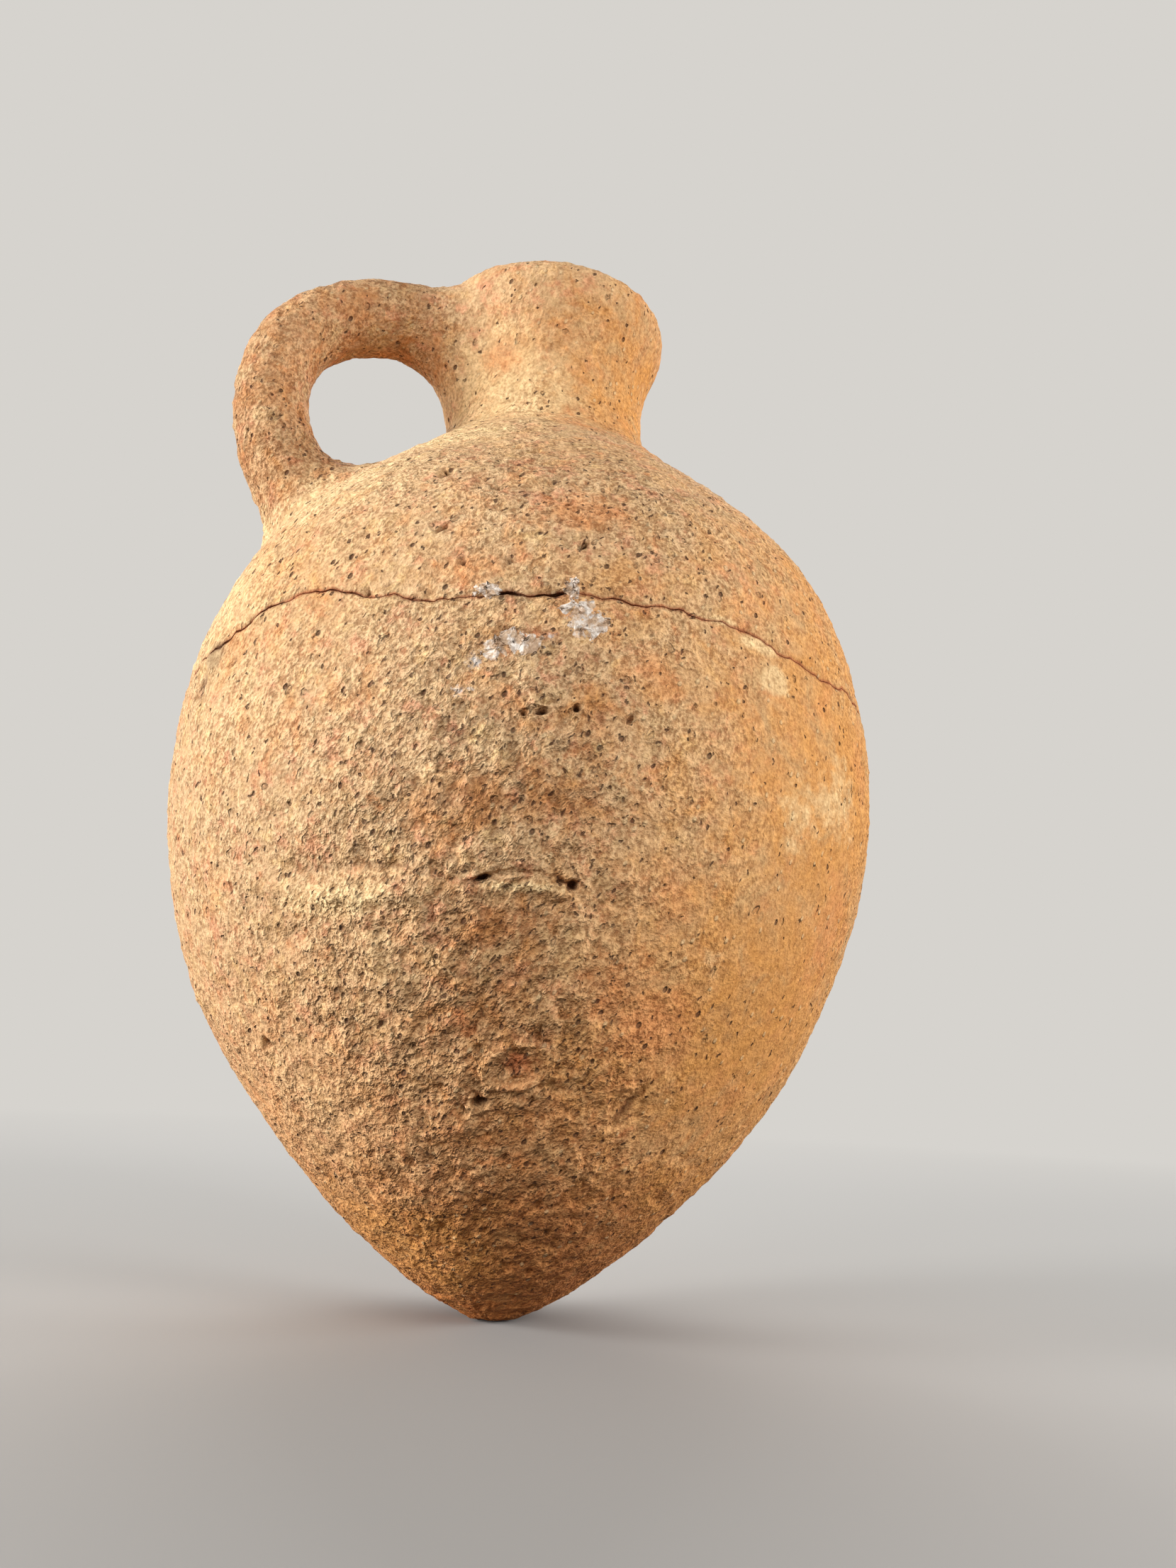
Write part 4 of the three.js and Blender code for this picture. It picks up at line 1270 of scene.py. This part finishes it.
# %% Stains and painted light: azimuth, height, half sizes and strength
stains_and_painted_light = {
    "blush": [
        (-100.7, 128.4, 7, 5, 0.9), (-97, 124, 8, 4, 0.5), (-117, 115.4, 5, 3, 0.8),
        (-85.6, 50.1, 8, 7, 1), (-92.5, 54.6, 7, 6, 0.8), (-88, 43, 6, 8, 0.6), (-50.2, 67, 8, 12, 0.8),
        (-87.3, 68.9, 6, 6, 0.7), (-54, 55, 9, 9, 0.5), (-135.6, 179.6, 4.5, 4, 0.9),
        (-138, 170, 5, 4, 0.4), (-112, 104, 3, 2, 0.6), (-88, 110, 10, 4, 0.35), (-75, 118, 10, 6, 0.35),
        (-60, 130, 10, 10, 0.35), (-140, 58, 9, 6, 0.45), (-128, 85, 8, 6, 0.35), (-115, 50, 6, 5, 0.45),
        (-104, 30, 12, 6, 0.4), (-86, 23, 12, 7, 0.6), (-60, 40, 12, 8, 0.5), (30, 80, 16, 12, 0.6),
        (80, 120, 12, 9, 0.5), (130, 50, 16, 12, 0.6), (170, 90, 12, 9, 0.4), (60, 40, 16, 10, 0.6),
        (100, 90, 10, 12, 0.4),
    ],
    "red": [
        (-106.5, 43.6, 2.8, 2, 1), (-115.6, 49.6, 4, 2.5, 0.6), (-133.5, 180.2, 1.4, 1, 0.9),
        (-106.5, 104.4, 2.4, 1.6, 0.9), (-108, 76, 4, 3, 0.5), (-104.5, 111.2, 5, 1, 0.6),
        (-95.5, 110.6, 5, 0.9, 0.6), (-84, 33, 4, 6, 0.6), (-112.6, 39.2, 2, 1.6, 0.6),
        (-138, 112, 4, 1, 0.5), (-103, 57, 3, 4, 0.5),
    ],
    # Umber: brown patches of the clay, and also painted shade on the right of the neck and on the right
    # side of the point.
    "umber": [
        (-114, 79, 9, 4, 0.55), (-103, 80, 9, 4, 0.5), (-109.5, 63, 7, 6, 0.6), (-112, 52, 9, 8, 0.5),
        (-100, 92, 8, 7, 0.35), (-105, 32, 14, 9, 0.5), (-72, 12, 24, 15, 1.3), (-52, 16, 18, 12, 1.1),
        (150, 70, 16, 12, 0.6), (70, 100, 14, 10, 0.5), (40, 20, 20, 10, 0.5), (-52, 183, 16, 14, 0.4),
        (-50, 168, 12, 14, 0.4),
    ],
    "tan": [
        (-54, 88, 30, 34, 1), (-50, 124, 26, 22, 0.8), (-60, 54, 30, 28, 1), (-50, 34, 24, 18, 0.7),
        (-46, 176, 20, 20, 0.9), (-88, 146, 18, 12, 0.4), (-92, 112, 16, 9, 0.4), (-146, 14, 14, 10, 0.9),
        (-148, 118, 18, 16, 0.35), (-10, 80, 26, 30, 0.6), (110, 70, 22, 24, 0.4),
    ],
    "grey": [
        (-135, 141, 9, 5, 0.45), (-126, 148, 7, 4, 0.4), (-118, 138, 6, 3, 0.35), (-73, 50.6, 8, 6, 0.55),
        (-161.8, 107.3, 3.4, 2, 1.7), (-79, 103, 6, 4, 0.35), (-104, 147, 9, 5, 0.35),
        (-118, 128, 6, 4, 0.3), (-118, 106, 6, 3, 0.35), (-140, 88, 6, 5, 0.3), (-106, 91, 6, 4, 0.4),
        (40, 100, 10, 8, 0.4), (120, 30, 12, 8, 0.4),
    ],
    # Pale: paler clay and flakes by the break, and also painted light: highlights on the scar's lip and
    # the raised strokes, and a brighter left side of the neck and shoulder.
    "pale": [
        (-66, 84.5, 6, 4, 0.8), (-57, 86, 8, 5, 0.8), (-55, 92, 4, 4, 0.8), (-67, 79, 4, 2, 0.7),
        (-78, 60, 4, 3, 0.5), (-71.6, 104.1, 2.6, 1.9, 1.6), (-74.6, 109.6, 3.4, 1.2, 1.3),
        (-81, 112, 3, 0.9, 1.1), (-107, 68.2, 6, 0.8, 1), (-133, 66, 10, 2.4, 1), (180, 131, 12, 12, 1),
        (-152, 36, 14, 14, 0.5), (-126, 60, 6, 9, 0.6), (-118, 57, 5, 6, 0.5), (-152, 140, 20, 14, 0.8),
        (-138, 154, 16, 9, 1), (-140, 172, 11, 14, 1), (-152, 158, 10, 8, 0.9), (-165, 118, 18, 14, 0.7),
        (-155, 96, 14, 12, 0.5), (-118, 168, 10, 16, 0.8), (-120, 158, 12, 6, 0.6), (-120, 84, 6, 5, 0.4),
        (10, 60, 16, 12, 0.5), (90, 60, 14, 10, 0.4),
    ],
    "chalk": [
        (-100.9, 107.3, 2.9, 2.3, 0.55), (-103, 112.2, 1.1, 2, 0.55), (-109.5, 103.4, 3.2, 1.3, 0.45),
        (-113.2, 102.2, 1.6, 1.5, 0.5), (-114.6, 112, 2, 1.2, 0.45), (-115.2, 100, 1.5, 1.6, 0.55),
        (-117, 95.6, 2.4, 1.6, 0.4), (-118.6, 92.5, 2, 1.6, 0.25), (-105.5, 104.5, 1.5, 1, 0.35),
    ],
}
stain_reach, least_depth = 1.35, 5.0
break_stain_reach, handle_stain_blend = 0.5, 6
handle_stains = {"umber": 0.45, "grey": 0.50, "pale": 0.35, "blush": 0.10}


def paint_stains_and_light(piece):
    """Writes every kind of stain and of painted light and shade on a piece, and how rough it is, as
    attributes of its vertices.
    """
    points = points_of(piece)
    write_mask(piece, "worn", roughness_at(points))
    on_handle = smooth(off_wall(points) / handle_stain_blend)
    from_break = points[:, 2] - break_line(round_axis(points)[1])
    for name, places in stains_and_painted_light.items():
        amount = handle_stains.get(name, 0) * on_handle
        for azimuth, height, across, high, strength in places:
            across, high = across * stain_reach, high * stain_reach
            near = nearness(points, azimuth, height, across, high, deep=max(least_depth, across))
            amount = np.maximum(amount, strength * np.exp(-near**2))
        if name == "red":
            amount = np.maximum(amount, fading(from_break, break_stain_reach))
        write_mask(piece, name, amount)


clay_pieces = [plug, lower, upper, neck, handle, top_luting, foot_luting, seam_coil, neck_coil]
for piece in clay_pieces:
    paint_stains_and_light(piece)
print("stains:", {name: len(places) for name, places in stains_and_painted_light.items()})

# %% [markdown]
# ## Fired clay as a material
#
# Two node groups are shared by all the clay. The first makes the sand: grains, grit and pits as a
# height for the Bump node and as masks. The second mixes the colours, and uses the masks for painted
# shade in pits and between grains and for painted highlights on the grains. Only grains, pits and
# lumps about a millimetre across are left to the bump, because the rest is already in the mesh.

# %% Helpers for groups and for the nodes that they use most. A socket knows the tree it is in
def new_group(name, inputs, outputs):
    """A shader node group with named sockets, what it is given, and where its results go."""
    group = bpy.data.node_groups.new(name, "ShaderNodeTree")
    for in_out, sockets in (("INPUT", inputs), ("OUTPUT", outputs)):
        for label, kind in sockets.items():
            group.interface.new_socket(name=label, in_out=in_out, socket_type=f"NodeSocket{kind}")
    return group, group.nodes.new("NodeGroupInput").outputs, group.nodes.new("NodeGroupOutput").inputs


def calculate(operation, first, second, held=False):
    """A sum, product or the like of two values."""
    feeds = {0: first, 1: second}
    return put(first.id_data, "Math", feeds, operation=operation, use_clamp=held)[0]


def times(first, second, held=False):
    """The product of two values, held between 0 and 1 if asked."""
    return calculate("MULTIPLY", first, second, held)


def plus(first, second):
    """The sum of two values."""
    return calculate("ADD", first, second)


def scaled(place, amount):
    """A place or direction made longer or shorter."""
    return put(place.id_data, "VectorMath", {0: place, "Scale": amount}, operation="SCALE")[0]


def ramp(value, start, end, top=1.0, base=0.0):
    """A value carried from one range to another with a soft start and end."""
    feeds = {"Value": value, "From Min": start, "From Max": end, "To Min": base, "To Max": top}
    return put(value.id_data, "MapRange", feeds, interpolation_type="SMOOTHSTEP")[0]


def noise(place, size, detail, roughness, warp=0.0):
    """Noise with lumps about this many millimetres apart, from 0 to 1."""
    feeds = {"Scale": 1 / size, "Detail": detail, "Roughness": roughness, "Distortion": warp}
    return put(place.id_data, "TexNoise", {"Vector": place, **feeds})[0]


def tinted(tree, share, below, above, way="MIX"):
    """Two colours mixed by a share."""
    feeds = {0: share, 6: below, 7: above}
    return put(tree, "Mix", feeds, data_type="RGBA", blend_type=way)[2]


# %% The sand in the clay: height, pits, grit, and a speckle that follows the height of the grains, used for painted shade between grains and painted highlights on them
wipe_direction, wipe_stretch = (0.430, -0.375, 0.821), -0.32
full_spot = 0.45

sand_group, given, made = new_group(
    "sand_in_clay",
    {"Place": "Vector", "Roughness": "Float"},
    {"Height": "Float", "Pits": "Float", "Grit": "Float", "Speckle_and_shade": "Float"},
)


def cell_spots(place, size, reach, kept):
    """Round spots scattered in the clay. Only a share of the cells keeps its spot."""
    cells = put(sand_group, "TexVoronoi", {"Vector": place, "Scale": 1 / size})
    drawn = put(sand_group, "SeparateColor", {0: cells["Color"]})[0]
    present = calculate("LESS_THAN", drawn, kept)
    return times(ramp(cells["Distance"], reach, reach * full_spot), present)


place, worn = given["Place"], given["Roughness"]
along = put(sand_group, "VectorMath", {0: place, 1: wipe_direction}, operation="DOT_PRODUCT")
shift = put(
    sand_group, "VectorMath",
    {0: wipe_direction, "Scale": times(along["Value"], wipe_stretch)}, operation="SCALE",
)[0]
wiped = put(sand_group, "VectorMath", {0: place, 1: shift})[0]
swirl = put(sand_group, "TexNoise", {"Vector": wiped, "Scale": 0.9, "Detail": 2.0})["Color"]
stirred = put(sand_group, "VectorMath", {0: wiped, 1: scaled(swirl, 1.6)})[0]

grains = noise(wiped, 0.98, 2.5, 0.62)
sand = noise(place, 0.52, 2.0, 0.55)
lumps = noise(wiped, 2.3, 2.0, 0.55)
patches = noise(place, 8.0, 3.0, 0.6)
pit_spots = cell_spots(wiped, 2.3, 0.19, ramp(worn, 0.10, 0.9, 0.40, 0.12))
pin_spots = cell_spots(stirred, 1.10, 0.27, ramp(worn, 0.12, 0.9, 0.55, 0.12))
dimples = cell_spots(stirred, 1.55, 0.40, ramp(worn, 0.30, 1.0, 0.45, 0.03))
grit = cell_spots(wiped, 1.45, 0.30, 0.20)
sharp_pits = calculate("MAXIMUM", pit_spots, pin_spots)

depth = times(plus(times(worn, 1.9), 0.05), ramp(patches, 0.36, 0.64, 1.25, 0.6))
height = times(plus(grains, times(lumps, 0.8)), depth)
height = plus(height, times(sand, ramp(worn, 0.12, 0.7, 0.50, 0.24)))
height = calculate("SUBTRACT", height, sharp_pits)
height = calculate("SUBTRACT", height, times(dimples, 0.60))
# The speckle rises with the grains' height: the colour uses it as painted shade in the low places and
# painted highlight on the high ones, besides the grains' own tone.
speckle_and_shade = calculate("SUBTRACT", plus(times(grains, 0.5), times(sand, 0.5)), 0.5)
results = {
    "Height": plus(height, times(grit, 0.25)),
    "Pits": calculate("MAXIMUM", sharp_pits, times(dimples, 0.30)),
    "Grit": grit,
    "Speckle_and_shade": plus(times(speckle_and_shade, ramp(depth, 0.15, 1.1, 1.15, 0.42)), 0.5),
}
for label, socket in results.items():
    sand_group.links.new(socket, made[label])
print("sand group:", len(sand_group.nodes), "nodes")

# %% The colours of the fired clay
clay_colours = {
    "blush": (218, 148, 94), "red": (184, 104, 66), "umber": (170, 106, 57),
    "tan": (216, 156, 88), "grey": (158, 136, 104), "pale": (244, 216, 166),
    "chalk": (232, 226, 220), "dirt_and_shade": (80, 42, 24), "low": (222, 164, 109),
    "point": (196, 112, 46), "rust": (200, 126, 78), "pink": (216, 158, 124),
    "yellow": (226, 192, 140), "olive": (184, 148, 98), "apricot": (222, 154, 98),
}
clay_colours = {name: screen_colour(*values) for name, values in clay_colours.items()}
grain_shadow, grain_light = (0.60, 0.49, 0.40, 1.0), (1.32, 1.31, 1.27, 1.0)
paint_weight, field_weight = 0.55, 0.8
height_wander, low_flecks = 40, 0.07

masks = [*stains_and_painted_light, "hollow"]
grain_masks = ("Pits", "Grit", "Speckle_and_shade")
colour_inputs = {"Place": "Vector", "Base": "Color"}
colour_inputs.update({label: "Float" for label in [*map(str.capitalize, masks), *grain_masks]})
colour_group, given, made = new_group(
    "fired_clay_colour", colour_inputs, {"Color": "Color", "Roughness": "Float"},
)
place = given["Place"]
broad = noise(place, 21, 4.0, 0.6, 0.4)
blotch = noise(place, 7.5, 5.0, 0.62, 0.8)
drift = noise(place, 10.5, 5.0, 0.62, 0.6)
spot = noise(place, 3.1, 4.0, 0.66)
crumb = noise(place, 1.3, 4.0, 0.7)
mottle = noise(place, 4.4, 5.0, 0.72)
level = put(colour_group, "SeparateXYZ", {0: place})["Z"]
lifted = plus(level, times(blotch, height_wander))
flecks = plus(spot, times(ramp(lifted, 120, 30), low_flecks))


def broken(name, field, threshold, softness, strength):
    """A painted stain with its edge broken up by a noise field."""
    reach = plus(times(given[name.capitalize()], paint_weight), times(field, field_weight))
    return ramp(reach, threshold, threshold + softness, strength)


def grain_shaded_and_lit(tree, colour, speckle_and_shade, share):
    """A colour with painted shade between the grains of sand and a painted highlight on them, besides the
    grains' own tone.
    """
    grains = tinted(tree, ramp(speckle_and_shade, 0.36, 0.64), grain_shadow, grain_light)
    return tinted(tree, share, colour, grains, way="MULTIPLY")


# %% Mixing them in order: first the mottling, the tints of height and the stains with their painted light and shade, then the painted shade and highlight of the grains
tints = [
    ("pink", ramp(mottle, 0.51, 0.66, 0.85)),
    ("yellow", ramp(mottle, 0.46, 0.31, 0.85)),
    # Towards the point the colour turns darker and more saturated.
    ("low", ramp(lifted, 100, 30, 0.60)),
    ("point", ramp(lifted, 46, 14, 0.85)),
    ("rust", ramp(flecks, 0.57, 0.76, 0.65)),
    ("umber", broken("umber", blotch, 0.46, 0.36, 0.75)),
    ("tan", broken("tan", blotch, 0.34, 0.72, 1.0)),
    ("olive", ramp(blotch, 0.46, 0.34, 0.40)),
    ("apricot", ramp(drift, 0.54, 0.70, 0.50)),
    ("pale", broken("pale", spot, 0.58, 0.34, 0.65)),
    ("blush", broken("blush", spot, 0.54, 0.50, 0.80)),
    ("red", broken("red", spot, 0.62, 0.36, 0.75)),
    ("grey", broken("grey", spot, 0.62, 0.36, 0.65)),
]
# Dressings: painted shade in the sand's pits and dimples, pale grit, chalky plaster left in the clay, and
# dirt with painted shade in the pressed hollows and along the break.
dressings = [
    ("pale", times(given["Grit"], 0.40)),
    ("dirt_and_shade", times(given["Pits"], 0.80)),
    ("chalk", ramp(plus(times(given["Chalk"], 0.75), times(crumb, 0.7)), 0.58, 0.78, 0.85)),
    ("dirt_and_shade", times(given["Hollow"], 0.85, held=True)),
]
colour = given["Base"]
for name, share in tints:
    colour = tinted(colour_group, share, colour, clay_colours[name])
colour = grain_shaded_and_lit(colour_group, colour, given["Speckle_and_shade"], 1.0)
for name, share in dressings:
    colour = tinted(colour_group, share, colour, clay_colours[name])
colour_group.links.new(colour, made["Color"])
colour_group.links.new(ramp(broad, 0.3, 0.7, 0.95, 0.84), made["Roughness"])
print("colour group:", len(colour_group.nodes), "nodes")

# %% One clay material, made four times with its own base colour and depth of sand
clay_shine = 0.25


def sand_at(tree, worn):
    """The place in millimetres, and what the sand group makes there for a roughness."""
    place = scaled(put(tree, "TexCoord")["Object"], 1 / MM)
    feeds = {"Place": place, "Roughness": worn}
    return place, put(tree, "Group", feeds, node_tree=sand_group)


def matt_surface(tree, colour, roughness, shine, height, sand_depth):
    """A matt Principled BSDF with the sand in one Bump node."""
    bump = put(tree, "Bump", {"Height": height, "Distance": sand_depth * MM, "Strength": 1.0})[0]
    feeds = {"Base Color": colour, "Roughness": roughness, "Specular IOR Level": shine, "Normal": bump}
    put(tree, "OutputMaterial", {"Surface": put(tree, "BsdfPrincipled", feeds)[0]})


def painted(tree, name):
    """What an attribute says at each place."""
    return put(tree, "Attribute", attribute_name=name)["Fac"]


def clay_material(name, base, sand_depth):
    """Fired clay: the sand group, the painted masks and the colour group in turn."""
    material = bpy.data.materials.new(name)
    tree = empty_tree(material)
    place, sand = sand_at(tree, painted(tree, "worn"))
    feeds = {"Place": place, "Base": base}
    feeds.update({label.capitalize(): painted(tree, label) for label in masks})
    feeds.update({label: sand[label] for label in grain_masks})
    clay = put(tree, "Group", feeds, node_tree=colour_group)
    matt_surface(tree, clay["Color"], clay["Roughness"], clay_shine, sand["Height"], sand_depth)
    return material


buff, brown, raw = screen_colour(212, 179, 139), screen_colour(210, 146, 92), screen_colour(186, 138, 94)
materials = {
    "clay_buff": clay_material("buff_fired_clay", buff, 0.88),
    "clay_orange": clay_material("warm_fired_clay", buff, 0.95),
    "clay_brown": clay_material("brown_fired_clay", brown, 0.85),
    "clay_inside": clay_material("raw_inner_clay", raw, 0.60),
}

# %% [markdown]
# ## Chalky plaster
#
# Old plaster is dry, matt and nearly white, greyer where dust has rubbed in, and it crumbles.

# %% The plaster material
rubbed_dust, plaster_pit_shade = screen_colour(196, 166, 136), screen_colour(120, 92, 70)
plaster_roughness, plaster_shine, plaster_sand_depth = 0.93, 0.2, 0.60
plaster_wear, plaster_grain_shade, plaster_pit_shade_share = 0.5, 0.7, 0.5

materials["plaster_white"] = bpy.data.materials.new("crumbling_plaster")
tree = empty_tree(materials["plaster_white"])
place, sand = sand_at(tree, plaster_wear)
rubbed = ramp(noise(place, 1.5, 4.0, 0.7), 0.40, 0.58, 0.90, 0.1)
colour = tinted(tree, rubbed, clay_colours["chalk"], rubbed_dust)
# Painted shade between the plaster's grains and painted highlight on them.
colour = grain_shaded_and_lit(tree, colour, sand["Speckle_and_shade"], plaster_grain_shade)
# Painted shade in the plaster's pits.
colour = tinted(tree, times(sand["Pits"], plaster_pit_shade_share), colour, plaster_pit_shade)
matt_surface(tree, colour, plaster_roughness, plaster_shine, sand["Height"], plaster_sand_depth)

# %% [markdown]
# ## Putting it together
#
# Every piece takes its material, rides with the jug and stands for its measured part.

# %% Materials, riders and the parts that they stand for
built = [
    (plug, "base_plug", "clay_brown"),
    (lower, "lower_body", "clay_orange"),
    (upper, "upper_body", "clay_buff"),
    (neck, "neck", "clay_buff"),
    (handle, "loop_handle", "clay_buff"),
    (top_luting, "handle_top_luting", "clay_buff"),
    (foot_luting, "handle_foot_luting", "clay_buff"),
    (seam_coil, "inner_seam_coil", "clay_inside"),
    (neck_coil, "inner_neck_coil", "clay_inside"),
]
built += [(dab, row[0], "plaster_white") for dab, row in zip(plaster_pieces, dabs)]
for piece, node_name, slot in built:
    piece.data.materials.clear()
    piece.data.materials.append(materials[slot])
    piece.name = f"{node_name}_finished"
    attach(piece, "root")
    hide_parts(node_name)
    triangles = sum(len(face.vertices) - 2 for face in piece.data.polygons)
    print(piece.name, triangles, "triangles")
